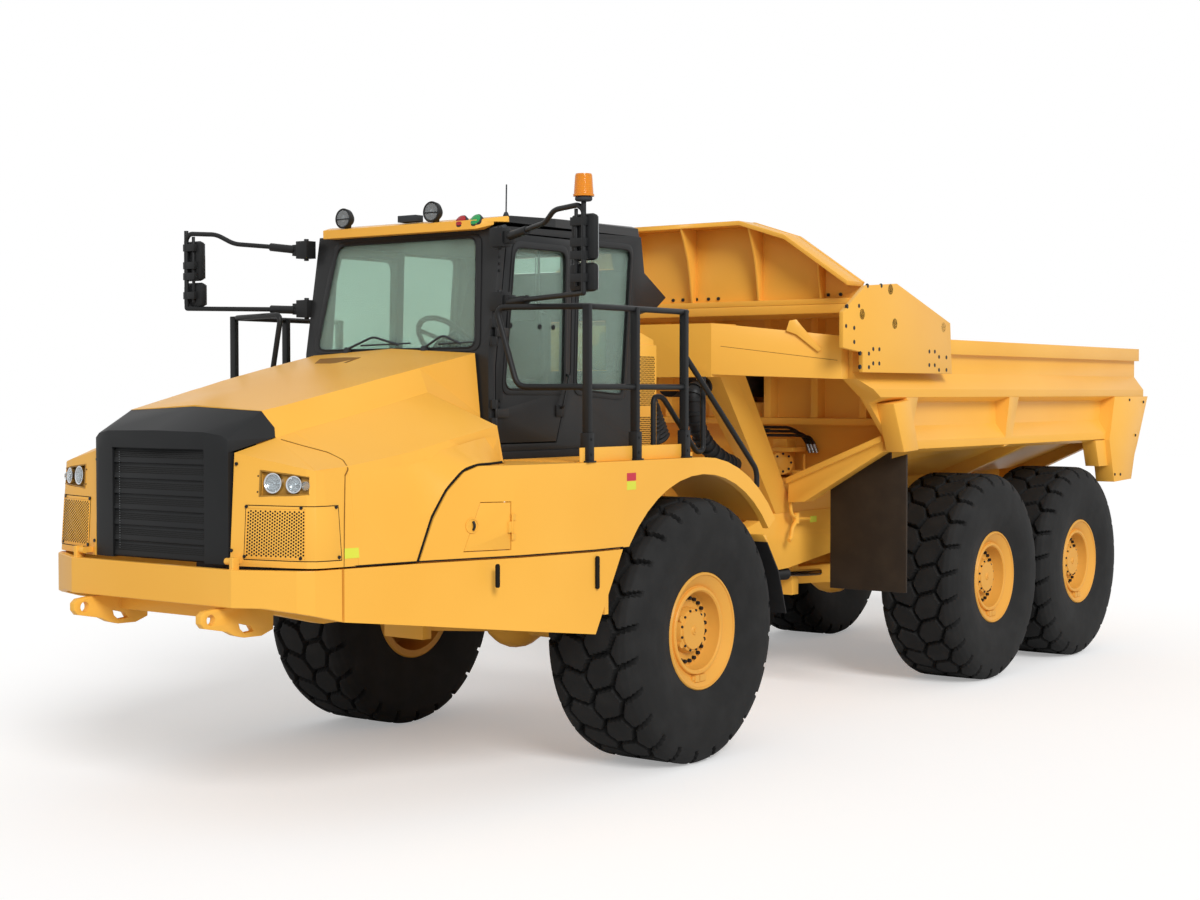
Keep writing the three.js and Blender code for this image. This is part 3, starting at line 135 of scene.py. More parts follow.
def vulcanised_rubber(name, colour, worn, roughness=0.78):
    """Carbon-black rubber pressed in a mould: nearly black, dull, a little greyer where it has
    been handled, with a fine pitted skin."""
    material, tree, place = start_material(name)
    clouds = add_node(tree, "ShaderNodeTexNoise", {
        "Vector": place, "Scale": 1 / (160 * MM), "Detail": 5.0})
    wear = add_node(tree, "ShaderNodeMapRange", {
        "Value": clouds.outputs["Fac"], "From Min": 0.42, "From Max": 0.72})
    pits = add_node(tree, "ShaderNodeTexNoise", {
        "Vector": place, "Scale": 1 / (7 * MM), "Detail": 4.0})
    close_material(tree, wear.outputs["Result"], (colour, worn), pits.outputs["Fac"], 0.8, 0.5,
                   Roughness=roughness, **{"Specular IOR Level": 0.3})
    return material


def plated_chrome():
    """Hard chrome on a ground rod: a mirror with faint turning marks."""
    material, tree, place = start_material("hard_chrome_plate")
    marks = add_node(tree, "ShaderNodeTexNoise", {
        "Vector": place, "Scale": 1 / (3 * MM), "Detail": 2.0}).outputs["Fac"]
    close_material(tree, marks, ("#DADDE0", "#C4C8CC"), marks, 0.02, 0.3, Metallic=1.0, Roughness=0.14)
    return material


def zinc_steel():
    """Zinc-plated steel fittings: grey with a soft spangle."""
    material, tree, place = start_material("zinc_plated_steel")
    spangle = add_node(tree, "ShaderNodeTexVoronoi", {"Vector": place, "Scale": 1 / (12 * MM)})
    level = add_node(tree, "ShaderNodeRGBToBW", {"Color": spangle.outputs["Color"]})
    close_material(tree, level.outputs["Val"], ("#A9ADB0", "#8C9194"), Metallic=1.0, Roughness=0.38)
    return material


def laminated_glass():
    """Green-tinted laminated safety glass: clear, with a smoky body and a mirror skin."""
    material, tree, place = start_material("tinted_laminated_glass")
    film = add_node(tree, "ShaderNodeTexNoise", {
        "Vector": place, "Scale": 1 / (700 * MM), "Detail": 2.0})
    close_material(tree, film.outputs["Fac"], ("#CFE6DA", "#C6DED1"), Roughness=0.02,
                   **{"Transmission Weight": 0.8, "IOR": 1.15})
    return material


def cast_lens(name, colour, shade, transmission=0.6):
    """A moulded polycarbonate lens with fine ribs inside, bright in its own colour."""
    material, tree, place = start_material(name)
    ribs = add_node(tree, "ShaderNodeTexWave", {
        "Vector": place, "Scale": 1 / (40 * MM), "Distortion": 0.0}, bands_direction="Z").outputs["Fac"]
    close_material(tree, ribs, (colour, shade), ribs, 0.6, 0.5, Roughness=0.12,
                   **{"Transmission Weight": transmission, "IOR": 1.4})
    return material


def woven_cloth():
    """Coarse woven seat cloth: crossed threads, drawn 12 mm apart so that they show, and a
    soft sheen."""
    material, tree, place = start_material("woven_seat_cloth")
    spacing = {"Vector": place, "Scale": 1 / (12 * MM)}
    warp = add_node(tree, "ShaderNodeTexWave", spacing, bands_direction="X")
    weft = add_node(tree, "ShaderNodeTexWave", spacing, bands_direction="Z")
    threads = add_node(tree, "ShaderNodeMath", {
        0: warp.outputs["Fac"], 1: weft.outputs["Fac"]}, operation="MULTIPLY").outputs["Value"]
    close_material(tree, threads, ("#26292D", "#3B4046"), threads, 1.0, 0.6, Roughness=0.92,
                   **{"Sheen Weight": 0.25})
    return material


YELLOW = sprayed_enamel("yellow_sprayed_enamel", "#F2B54C", "#EFB046")
RIM_YELLOW = sprayed_enamel("wheel_yellow_enamel", "#E0A449", "#DA9D42", 0.45)
BLACK_ENAMEL = sprayed_enamel("black_sprayed_enamel", "#1B1C1D", "#202122", 0.45, 0.0, 0.22)
CAB_BLACK = sprayed_enamel("cab_black_enamel", "#232425", "#28292A", 0.4, 0.05, 0.2)
GRILLE_BLACK = moulded_plastic("grille_black_abs", "#1A1B1C", "#202122", 0.55)
TRIM_PLASTIC = moulded_plastic("cab_trim_abs", "#2E3236", "#383C41", 0.7)
# A darker copy of the yellow: painted shade in the sunk pocket round the headlamps.
LAMP_POCKET_PAINTED_SHADE = moulded_plastic("lamp_pocket_painted_shade_abs", "#AF8238", "#9C722C", 0.35)
HOLE_BLACK = moulded_plastic("shaded_opening_black", "#100F0D", "#15130F", 0.9)
TYRE_RUBBER = vulcanised_rubber("tyre_rubber", "#161616", "#1F1F1F")
FLAP_RUBBER = vulcanised_rubber("flap_rubber", "#2A1F14", "#33271A", 0.65)
HOSE_RUBBER = vulcanised_rubber("hose_rubber", "#131314", "#1A1A1B", 0.6)
CHROME = plated_chrome()
ZINC = zinc_steel()
GLASS = laminated_glass()
AMBER_LENS = cast_lens("amber_polycarbonate_lens", "#F59A1E", "#EE8C14", 0.25)
RED_LENS = cast_lens("red_polycarbonate_lens", "#C3262B", "#A91D22", 0.2)
GREEN_LENS = cast_lens("green_polycarbonate_lens", "#2FB262", "#259A52", 0.2)
CLEAR_LENS = cast_lens("clear_polycarbonate_lens", "#E9EEF0", "#DCE3E6", 0.8)
LABEL_RED = sprayed_enamel("red_label_vinyl", "#C8374A", "#BF3044", 0.5, 0.0, 0.3)
LABEL_YELLOW = sprayed_enamel("yellow_label_vinyl", "#DDE04A", "#D3D640", 0.5, 0.0, 0.3)
# A darker copy of the yellow enamel: painted shade along seams and weld lines and in the hood's air slot.
SEAM_PAINTED_SHADE = sprayed_enamel("seam_painted_shade_enamel", "#8A5F22", "#7D551D", 0.6, 0.0, 0.2)
SEAT_CLOTH = woven_cloth()


# ---------------------------------------------------------------- shapes
def placed(points):
    """Points in millimetres, Y from the front axle, as points of the frame in metres."""
    moved = np.array(points, float) * MM
    moved[:, 1] -= AXLE_TO_MIDDLE * MM
    return moved


class Shape:
    """Closed solids gathered into one mesh, in millimetres."""

    def __init__(self):
        self.vertices = []
        self.faces = []

    def add(self, vertices, faces):
        """Takes in the points and faces of one more solid."""
        first = len(self.vertices)
        self.vertices += [tuple(v) for v in vertices]
        self.faces += [tuple(first + i for i in face) for face in faces]
        return self

    def box(self, x0, x1, y0, y1, z0, z1):
        """A straight block between two places along each of X, Y and Z."""
        return self.prism("z", [(x0, y0), (x1, y0), (x1, y1), (x0, y1)], z0, z1)

    def prism(self, axis, outline, start, end):
        """A flat outline of (y, z), (x, z) or (x, y) pairs pushed along X, Y or Z."""
        order = {"x": (2, 0, 1), "y": (0, 2, 1), "z": (0, 1, 2)}[axis]
        ring = [[(a, b, level)[i] for i in order] for level in (start, end) for a, b in outline]
        count = len(outline)
        sides = [(i, (i + 1) % count, (i + 1) % count + count, i + count) for i in range(count)]
        return self.add(ring, sides + [tuple(range(count))[::-1], tuple(range(count, 2 * count))])

    def loft(self, rings):
        """A solid through rings of as many points, closed by the first and the last."""
        count = len(rings[0])
        faces = [tuple(range(count))[::-1], tuple(range((len(rings) - 1) * count, len(rings) * count))]
        for low in range(0, (len(rings) - 1) * count, count):
            faces += [(low + i, low + (i + 1) % count, low + (i + 1) % count + count, low + i + count)
                      for i in range(count)]
        return self.add([point for ring in rings for point in ring], faces)

    def ring(self, outer, inner, depth):
        """A flat frame between two loops of as many points, as deep as the vector depth."""
        count = len(outer)
        rows = [outer, inner, [p + Vector(depth) for p in inner], [p + Vector(depth) for p in outer]]
        faces = []
        for k in range(4):
            a, b = k * count, (k + 1) % 4 * count
            faces += [(a + i, a + (i + 1) % count, b + (i + 1) % count, b + i) for i in range(count)]
        return self.add([point for row in rows for point in row], faces)

    def turned(self, profile, origin, axis, sides=32):
        """A profile of (along, radius) pairs turned about an axis through origin. It is closed
        where both ends have radius 0, and otherwise it must be a loop."""
        along = Vector(axis).normalized()
        across = along.orthogonal().normalized()
        third = along.cross(across)
        angles = [2 * math.pi * i / sides for i in range(sides)]
        vertices, faces = [], []
        rows = []
        for distance, radius in profile:
            centre = Vector(origin) + along * distance
            if radius == 0:
                rows.append([len(vertices)] * sides)
                vertices.append(centre)
                continue
            rows.append(list(range(len(vertices), len(vertices) + sides)))
            vertices += [centre + (across * math.cos(a) + third * math.sin(a)) * radius for a in angles]
        pairs = list(zip(rows, rows[1:]))
        if profile[0][1] and profile[-1][1]:
            pairs.append((rows[-1], rows[0]))
        for low, high in pairs:
            for i in range(sides):
                j = (i + 1) % sides
                face = list(dict.fromkeys([low[i], low[j], high[j], high[i]]))
                if len(face) > 2:
                    faces.append(face)
        return self.add(vertices, faces)

    def rod(self, start, end, radius, sides=24):
        """A straight round bar from start to end."""
        length = (Vector(end) - Vector(start)).length
        profile = [(0, 0), (0, radius), (length, radius), (length, 0)]
        return self.turned(profile, start, Vector(end) - Vector(start), sides)

    def tube(self, path, radius, bend=0, sides=12):
        """A round bar along a path whose corners are rounded to the bend radius."""
        line = rounded(path, bend)
        vertices, faces = [], []
        side = (line[1] - line[0]).orthogonal().normalized()
        for i, point in enumerate(line):
            ahead = line[min(i + 1, len(line) - 1)] - line[max(i - 1, 0)]
            side = (side - ahead * side.dot(ahead) / ahead.length_squared).normalized()
            up = ahead.normalized().cross(side)
            for k in range(sides):
                angle = 2 * math.pi * k / sides
                vertices.append(point + (side * math.cos(angle) + up * math.sin(angle)) * radius)
        for i in range(len(line) - 1):
            for k in range(sides):
                a, b = i * sides + k, i * sides + (k + 1) % sides
                faces.append((a, b, b + sides, a + sides))
        last = (len(line) - 1) * sides
        faces += [tuple(range(sides))[::-1], tuple(range(last, last + sides))]
        return self.add(vertices, faces)

    def mirrored(self):
        """Adds the same shape on the other side of the truck."""
        self.add([(-x, y, z) for x, y, z in self.vertices], [face[::-1] for face in self.faces])
        return self

    def piece(self, name, material, body, slot, edge=0):
        """The gathered solids as one piece that rides on a body, its edges rounded by edge."""
        mesh = bpy.data.meshes.new(name)
        mesh.from_pydata(placed(self.vertices).tolist(), [], self.faces)
        outward(mesh)
        return finished(name, mesh, material, body, edge)


CORNER_POINTS = 7


def corner_curve(start, corner, end):
    """Points of a round corner, from where it leaves one side to where it meets the next."""
    shares = [i / (CORNER_POINTS - 1) for i in range(CORNER_POINTS)]
    return [start * (1 - t) ** 2 + corner * 2 * t * (1 - t) + end * t ** 2 for t in shares]


def rounded(path, bend):
    """A path with its corners rounded to the bend radius, or less where it is short."""
    corners = [Vector(p) for p in path]
    line = [corners[0]]
    for before, corner, after in zip(corners, corners[1:], corners[2:]):
        reach = min(bend, (corner - before).length * 0.45, (after - corner).length * 0.45)
        if reach < 1:
            line.append(corner)
            continue
        start = corner + (before - corner).normalized() * reach
        end = corner + (after - corner).normalized() * reach
        line += corner_curve(start, corner, end)
    return line + [corners[-1]]


def outward(mesh):
    """Joins a mesh's doubled points and turns its faces outwards."""
    shape = bmesh.new()
    shape.from_mesh(mesh)
    bmesh.ops.remove_doubles(shape, verts=shape.verts, dist=0.00001)
    bmesh.ops.recalc_face_normals(shape, faces=shape.faces)
    shape.to_mesh(mesh)
    shape.free()


def stood(name, data):
    """An object that holds the given data, in the scene at the origin."""
    made = bpy.data.objects.new(name, data)
    bpy.context.scene.collection.objects.link(made)
    return made


def finished(name, mesh, material, body, edge=0, angle=32):
    """Rounds a mesh's sharp edges, shades it and makes it a piece that rides on a body."""
    piece = stood(name, mesh)
    mesh.materials.clear()
    mesh.materials.append(material)
    mesh.shade_smooth()
    if edge:
        bevel = piece.modifiers.new("edge", "BEVEL")
        bevel.width = edge * MM
        bevel.segments = 2
        bevel.limit_method = "ANGLE"
        bevel.angle_limit = math.radians(angle)
        bake(piece)
    piece.data.set_sharp_from_angle(angle=math.radians(angle))
    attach(piece, body)
    return piece


def bake(piece):
    """Turns a piece with modifiers into its plain mesh."""
    bpy.context.view_layer.update()
    graph = bpy.context.evaluated_depsgraph_get()
    mesh = bpy.data.meshes.new_from_object(piece.evaluated_get(graph))
    mesh.name = piece.name
    piece.modifiers.clear()
    piece.data = mesh


def refine(node, material, edge, angle=32, name=None, half=None):
    """Stands for a CAD node with the same shape, its edges rounded as on real plate. half is
    (axis, level, side) where only the material on that side of a plane is kept."""
    shape = bmesh.new()
    shape.from_mesh(frame["nodes"][node].data)
    bmesh.ops.remove_doubles(shape, verts=shape.verts, dist=0.00005)
    if half:
        axis, level, side = half
        point = placed([[level if axis == letter else 0 for letter in "xyz"]])[0]
        facing = [side if axis == letter else 0 for letter in "xyz"]
        cut = bmesh.ops.bisect_plane(shape, geom=shape.verts[:] + shape.edges[:] + shape.faces[:],
                                     plane_co=point, plane_no=facing, clear_inner=True)
        edges = [item for item in cut["geom_cut"] if isinstance(item, bmesh.types.BMEdge)]
        bmesh.ops.holes_fill(shape, edges=edges)
    bmesh.ops.dissolve_limit(shape, angle_limit=math.radians(0.4), verts=shape.verts, edges=shape.edges)
    mesh = bpy.data.meshes.new(name or node + "_plate")
    shape.to_mesh(mesh)
    shape.free()
    piece = finished(name or node + "_plate", mesh, material, BODY_OF[node], edge, angle)
    if not half:
        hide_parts(node)
    return piece


# ---------------------------------------------------------------- repeats
def stud_tree():
    """Puts a round or six-sided head on each point, standing along the point's facing."""
    tree = bpy.data.node_groups.new("studs", "GeometryNodeTree")
    for name, kind in (("Geometry", "Geometry"), ("Radius", "Float"), ("Height", "Float"),
                       ("Sides", "Int"), ("Finish", "Material")):
        tree.interface.new_socket(name, in_out="INPUT", socket_type="NodeSocket" + kind)
    tree.interface.new_socket("Geometry", in_out="OUTPUT", socket_type="NodeSocketGeometry")
    given = add_node(tree, "NodeGroupInput").outputs
    head = add_node(tree, "GeometryNodeMeshCylinder", {
        "Vertices": given["Sides"], "Radius": given["Radius"], "Depth": given["Height"]})
    facing = add_node(tree, "GeometryNodeInputNamedAttribute", {"Name": "facing"},
                      data_type="FLOAT_VECTOR").outputs["Attribute"]
    turn = add_node(tree, "FunctionNodeAlignRotationToVector", {"Vector": facing}, axis="Z")
    heads = add_node(tree, "GeometryNodeInstanceOnPoints", {
        "Points": given["Geometry"], "Instance": head.outputs["Mesh"], "Rotation": turn.outputs["Rotation"]})
    real = add_node(tree, "GeometryNodeRealizeInstances", {"Geometry": heads.outputs["Instances"]})
    coloured = add_node(tree, "GeometryNodeSetMaterial", {
        "Geometry": real.outputs["Geometry"], "Material": given["Finish"]})
    add_node(tree, "NodeGroupOutput", {"Geometry": coloured.outputs["Geometry"]})
    return tree


STUDS = stud_tree()


def studs(name, places, radius, height, material, body, sides=6):
    """Heads on (point, facing) pairs, in millimetres."""
    mesh = bpy.data.meshes.new(name)
    mesh.from_pydata(placed([p for p, _ in places]).tolist(), [], [])
    facing = mesh.attributes.new("facing", "FLOAT_VECTOR", "POINT")
    facing.data.foreach_set("vector", np.array([f for _, f in places], np.float32).ravel())
    piece = stood(name, mesh)
    modifier = piece.modifiers.new("studs", "NODES")
    modifier.node_group = STUDS
    values = {"Radius": radius * MM, "Height": height * MM, "Sides": sides, "Finish": material}
    for item in STUDS.interface.items_tree:
        if item.in_out == "INPUT" and item.name in values:
            modifier[item.identifier] = values[item.name]
    bake(piece)
    piece.data.shade_smooth()
    piece.data.set_sharp_from_angle(angle=math.radians(35))
    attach(piece, body)
    return piece


# ---------------------------------------------------------------- wheels
TYRE = {"radius": 928, "pitches": 24, "groove": 48, "steps": 480}
TREAD_HALF = 430                 # along the tyre's skin, from its middle to its shoulder
TREAD_STEP, WALL_STEP = 10, 24   # between the mesh's rings on the tread and on the walls
BLOCK_ROWS = (-330, -112, 112, 330)
BLOCK_LEAN = 0.32                # how far the blocks run back for each millimetre outwards
BLOCK_NARROWING = 1.05           # across the tyre, against round it
GROOVE_FLOOR, GROOVE_WALLS = 22, 12   # the width of a groove's floor, and of both its walls
GROOVE_END, GROOVE_FADE = 418, 30     # where the grooves end, and how gently
TYRE_HALF = [(0, 928), (150, 928), (272, 926), (318, 906), (350, 868), (368, 815), (378, 745), (381, 668),
             (377, 600), (364, 530), (348, 475), (336, 430), (330, 413)]


def tyre_line():
    """The tyre's outer line from bead to bead, close together where the tread is."""
    corners = np.array([(-x, r) for x, r in TYRE_HALF[:0:-1]] + TYRE_HALF, float)
    lengths = np.hypot(*np.diff(corners, axis=0).T)
    run = np.concatenate([[0], np.cumsum(lengths)])
    middle = run[len(TYRE_HALF) - 1]
    wall = np.arange(TREAD_HALF, middle, WALL_STEP)
    tread = np.arange(TREAD_STEP - TREAD_HALF, TREAD_HALF, TREAD_STEP)
    stops = np.concatenate([[0], np.concatenate([-wall[::-1], tread, wall]) + middle, [run[-1]]])
    line = np.column_stack([np.interp(stops, run, corners[:, i]) for i in (0, 1)])
    slope = np.gradient(line, axis=0)
    normal = np.column_stack([-slope[:, 1], slope[:, 0]])
    normal /= np.linalg.norm(normal, axis=1)[:, None]
    return line, normal, stops - middle


def tread_depth(around, across):
    """How far each point lies below the block tops: the blocks are the cells round four rows
    of centres, each row half a pitch on from the next, and the grooves run between them."""
    girth = 2 * math.pi * TYRE["radius"]
    pitch = girth / TYRE["pitches"]
    nearest = np.full(around.shape, 1e9)
    second = np.full(around.shape, 1e9)
    for row, centre in enumerate(BLOCK_ROWS):
        offset = (row % 2) * 0.5
        for k in range(TYRE["pitches"]):
            gap = around + BLOCK_LEAN * np.abs(across) - (k + offset) * pitch
            gap = (gap + girth / 2) % girth - girth / 2
            distance = np.hypot(gap, (across - centre) * BLOCK_NARROWING)
            second = np.minimum(second, np.maximum(nearest, distance))
            nearest = np.minimum(nearest, distance)
    wall = np.clip((second - nearest - GROOVE_FLOOR) / GROOVE_WALLS, 0, 1)
    groove = 1 - wall * wall * (3 - 2 * wall)
    fade = np.clip((GROOVE_END - np.abs(across)) / GROOVE_FADE, 0, 1)
    return TYRE["groove"] * groove * fade


def tyre_shape():
    """One tyre round the X axis, its outer side towards +X."""
    line, normal, across = tyre_line()
    steps = TYRE["steps"]
    angle = np.arange(steps) * 2 * math.pi / steps
    around, wide = np.meshgrid(angle * TYRE["radius"], across, indexing="ij")
    depth = tread_depth(around, wide)
    x = line[None, :, 0] - normal[None, :, 0] * depth
    r = line[None, :, 1] - normal[None, :, 1] * depth
    outer = np.stack([x, r * np.cos(angle)[:, None], r * np.sin(angle)[:, None]], axis=-1)
    columns = len(across)
    index = np.arange(steps * columns).reshape(steps, columns)
    ahead = np.roll(index, -1, axis=0)
    corners = [index[:, :-1], ahead[:, :-1], ahead[:, 1:], index[:, 1:]]
    quads = np.stack(corners, axis=-1).reshape(-1, 4)
    inner = np.stack([index[:, -1], ahead[:, -1], ahead[:, 0], index[:, 0]], axis=-1)
    return outer.reshape(-1, 3), np.concatenate([quads, inner])


# Pairs of how far out along the axle and how far from it.
RIM_PROFILE = [
    (-338, 352), (-338, 398), (-330, 410), (330, 410), (338, 403), (338, 393), (328, 388),
    (304, 348), (290, 326), (280, 314), (280, 308), (296, 306), (303, 300), (303, 284),
    (294, 274), (206, 268), (190, 258), (190, 164), (232, 154), (246, 148), (250, 136),
    (262, 130), (262, 34), (270, 28), (270, 0), (-22, 0), (-22, 352),
]


def rim_shape():
    """The rim with its lock ring and hub, and the lock bar at the bottom of the ring."""
    shape = Shape().turned(RIM_PROFILE, (0, 0, 0), (1, 0, 0), 96)
    for start, end in ((-70, -18), (-10, 64)):
        shape.box(288, 318, start, end, -352, -306)
    shape.box(288, 312, -96, -66, -338, -312)
    for angle in (35, 145, 215, 325):
        y, z = 156 * math.cos(math.radians(angle)), 156 * math.sin(math.radians(angle))
        shape.rod((186, y, z), (244, y, z), 24, 16)
    return shape


def add_wheels():
    """Six tyres, each with its rim and its bolts."""
    points, faces = tyre_shape()
    for row, y in AXLES.items():
        for side, sign in SIDES.items():
            body = f"wheel_{row}_{side}"
            place = np.array([sign * TRACK / 2, y, HUB_Z])
            turn = np.array([sign, 1, 1])
            mesh = bpy.data.meshes.new(f"tread_{row}_{side}")
            mesh.from_pydata(placed(points * turn + place).tolist(), [], faces.tolist())
            outward(mesh)
            tyre = finished(f"tread_{row}_{side}", mesh, TYRE_RUBBER, body, angle=38)
            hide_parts(f"tyre_{row}_{side}")
            rim = rim_shape()
            rim.vertices = [tuple(np.array(v) * turn + place) for v in rim.vertices]
            wheel = rim.piece(f"wheel_rim_{row}_{side}", RIM_YELLOW, body, "rim_paint")
            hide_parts(f"rim_{row}_{side}")
            add_wheel_bolts(row, side, place, sign)


def add_wheel_bolts(row, side, place, sign):
    """The rings of wheel nuts and hub bolts, and the plug in the hub's middle."""
    body = f"wheel_{row}_{side}"
    facing = (sign, 0, 0)

    def ring(count, radius, depth):
        angles = [2 * math.pi * (i + 0.5) / count for i in range(count)]
        return [((place[0] + sign * depth, place[1] + radius * math.cos(a), HUB_Z + radius * math.sin(a)),
                 facing) for a in angles]

    studs(f"wheel_nuts_{row}_{side}", ring(24, 222, 200), 14, 26, BLACK_ENAMEL, body)
    studs(f"hub_bolts_{row}_{side}", ring(12, 141, 252), 9, 10, BLACK_ENAMEL, body)
    plug = [((place[0] + sign * 272, place[1], HUB_Z), facing)]
    studs(f"hub_plug_{row}_{side}", plug, 15, 8, RIM_YELLOW, body)


# ---------------------------------------------------------------- plates of the frame
PAINTED = {
    "tractor_frame": 6, "bumper": 9, "fender_left": 9, "fender_right": 9, "service_door": 3, "cooler_box": 10,
    "hitch_head": 6, "trailer_frame": 6, "front_portal": 9, "body_floor": 5, "body_side_left": 8,
    "body_side_right": 8, "tailgate": 8, "ejector_blade": 7, "carriage_left": 6,
    "carriage_right": 6, "front_axle": 8, "mid_axle": 8, "rear_axle": 8,
}
BLACK_PARTS = {"steer_barrel_left": 5, "steer_barrel_right": 5, "ram_barrel": 5, "engine": 12}
CHROMED = {"steer_rod_left": 3, "steer_rod_right": 3, "ram_sleeve_1": 2, "ram_sleeve_2": 2, "ram_rod": 2}


def add_plates():
    """The CAD plates again, with the rounded edges and the enamel of the real ones."""
    for node, edge in PAINTED.items():
        refine(node, YELLOW, edge, 12 if node in ("bumper", "fender_left", "fender_right") else 32)
    for node, edge in BLACK_PARTS.items():
        refine(node, BLACK_ENAMEL, edge)
    for node, edge in CHROMED.items():
        refine(node, CHROME, edge)
    refine("hood", YELLOW, 26, 14)
    refine("grille_surround", GRILLE_BLACK, 24, 20)
    refine("grille", GRILLE_BLACK, 2)
    refine("cab_shell", CAB_BLACK, 12, 26)
    refine("cab_door", CAB_BLACK, 6)
    refine("dashboard", TRIM_PLASTIC, 8)
    for side in SIDES:
        refine(f"splash_flap_{side}", FLAP_RUBBER, 5)
    for node in ("windscreen", "side_glass_left", "side_glass_right", "door_glass"):
        frame["nodes"][node].data.materials.clear()
        frame["nodes"][node].data.materials.append(GLASS)


# ---------------------------------------------------------------- front end
SKIN_FOOT = 1578
SKIN_LOW = [(612, -3392), (1000, -3300), (1110, -3262), (1154, -3229), (1180, -3160), (1222, -2952)]
SKIN_HIGH = [(612, -3352, 2236), (1000, -3262, 2164), (1085, -3234, 2148), (1128, -3205, 2138),
             (1138, -3150, 2138), (1152, -2952, 2150)]
SKIN_RUN = np.concatenate([[0], np.cumsum(np.hypot(*np.diff(SKIN_LOW, axis=0).T))])


def skin_point(run, z):
    """A point on the hood's cheek: run is measured along its foot, from the grille round the
    corner towards the fender."""
    low = [np.interp(run, SKIN_RUN, [corner[i] for corner in SKIN_LOW]) for i in (0, 1)]
    high = [np.interp(run, SKIN_RUN, [corner[i] for corner in SKIN_HIGH]) for i in (0, 1, 2)]
    return Vector((*low, SKIN_FOOT)).lerp(Vector(high), (z - SKIN_FOOT) / (high[2] - SKIN_FOOT))


def skin_facing(run, z):
    """The way that the cheek faces at a point."""
    reach = 8
    along = skin_point(run + reach, z) - skin_point(run - reach, z)
    up = skin_point(run, z + reach) - skin_point(run, z - reach)
    return along.cross(up).normalized()


def skin(run, z, out=0):
    """A point that stands out from the cheek."""
    return skin_point(run, z) + skin_facing(run, z) * out


def skin_slab(shape, outline, low, high):
    """A small slab on the cheek, from its outline of (run, z) pairs."""
    return shape.loft([[skin(run, z, out) for run, z in outline] for out in (low, high)])


def skin_band(shape, start, end, low_z, high_z, sunk, proud):
    """A long slab on the cheek, bent round its corner."""
    stops = [start] + [stop for stop in SKIN_RUN if start < stop < end] + [end]
    edges = ((low_z, sunk), (high_z, sunk), (high_z, proud), (low_z, proud))
    return shape.loft([[skin(run, z, out) for z, out in edges] for run in stops])


def both_sides(places):
    """(point, facing) pairs, and the same on the other side of the truck."""
    return places + [((-p[0], p[1], p[2]), (-f[0], f[1], f[2])) for p, f in places]


def on_skin(spots, out):
    """(point, facing) pairs for spots on both cheeks."""
    return both_sides([(tuple(skin(run, z, out)), tuple(skin_facing(run, z))) for run, z in spots])


def add_lamps():
    """The two headlamps and the turn lamp of each cheek, in their sunk bezel, which is coloured in painted
    shade.
    """
    bezel, bowls, lenses, turn_lamps = Shape(), Shape(), Shape(), Shape()
    skin_slab(bezel, [(188, 1990), (526, 2004), (530, 2100), (188, 2136)], -29, -20)
    for low, high in (((184, 1984), (532, 1999)), ((184, 2132), (532, 2098))):
        skin_slab(bezel, [low, high, (high[0], high[1] + 7), (low[0], low[1] + 7)], -29, 4)
    skin_slab(bezel, [(180, 1984), (188, 1984), (188, 2139), (180, 2139)], -29, 4)
    bulb = [(-18, 0), (-18, 10), (-7, 10), (-4, 6), (-4, 0)]
    for run, z, radius in ((272, 2064, 54), (416, 2058, 45)):
        centre, facing = skin(run, z), skin_facing(run, z)
        bowl = [(-26, 0), (-26, radius + 5), (5, radius + 5), (5, radius - 1), (-8, radius * 0.72),
                (-16, radius * 0.34), (-18, 0)]
        lens = [(-1, 0), (-1, radius - 3), (2, radius - 3), (6, radius * 0.6), (8, 0)]
        bowls.turned(bowl, centre, facing, 40)
        bowls.turned(bulb, centre, facing, 16)
        lenses.turned(lens, centre, facing, 40)
    centre, facing = skin(506, 2052), skin_facing(506, 2052)
    turn_lamps.turned([(-24, 0), (-24, 26), (0, 26), (8, 18), (10, 0)], centre, facing, 28)
    bezel.mirrored().piece("lamp_bezels", LAMP_POCKET_PAINTED_SHADE, "hood", "black_paint", 1.5)
    bowls.mirrored().piece("lamp_bowls", CHROME, "hood", "hard_chrome")
    lenses.mirrored().piece("lamp_lenses", CLEAR_LENS, "hood", "tinted_glass")
    turn_lamps.mirrored().piece("turn_lamps", CLEAR_LENS, "hood", "tinted_glass")


HEX_ROW = 0.87                   # the distance between staggered rows, as a share of their pitch


def add_side_vents():
    """The perforated panel of each cheek, its raised rim, and the bolts and seam beside it."""
    panel, seam = Shape(), Shape()
    skin_band(seam, 92, 744, 1616, 1936, -2, 0.8)
    skin_band(panel, 97, 739, 1621, 1931, -2, 3)
    seam.mirrored().piece("vent_panel_seams", HOLE_BLACK, "hood", "black_paint")
    panel.mirrored().piece("vent_panels", YELLOW, "hood", "yellow_paint", 2)
    pitch = 19
    holes = []
    for column in range(24):
        for row in range(14):
            holes.append((115 + column * pitch * HEX_ROW, 1644 + (row + 0.5 * (column % 2)) * pitch))
    studs("vent_holes", on_skin(holes, 3), 6.4, 1.6, HOLE_BLACK, "hood")
    rim = Shape()
    for start, end, low_z, high_z in ((100, 506, 1630, 1634), (100, 506, 1915, 1919), (100, 104, 1630, 1919),
                                      (502, 506, 1630, 1919)):
        skin_band(rim, start, end, low_z, high_z, 0, 5)
    rim.mirrored().piece("vent_rims", YELLOW, "hood", "yellow_paint", 1)
    bolts = [(run, z) for run in (100, 478, 722) for z in (1636, 1925)] + [(20, 2172), (8, 1668)]
    studs("cheek_bolts", on_skin(bolts, 5), 11, 7, BLACK_ENAMEL, "hood")
    studs("cheek_pins", on_skin([(170, 2104), (170, 2012)], 1), 5, 3, BLACK_ENAMEL, "hood", 12)
    joint = Shape()
    joint.loft([[skin(run + shift, z, out) for shift, out in ((0, -2), (5, -2), (5, 0.8), (0, 0.8))]
                for run, z in ((752, 1580), (780, 1850), (812, 2104))])
    # The joint is drawn in painted shade, a darker copy of the yellow.
    joint.mirrored().piece("cheek_seams", SEAM_PAINTED_SHADE, "hood", "yellow_paint")


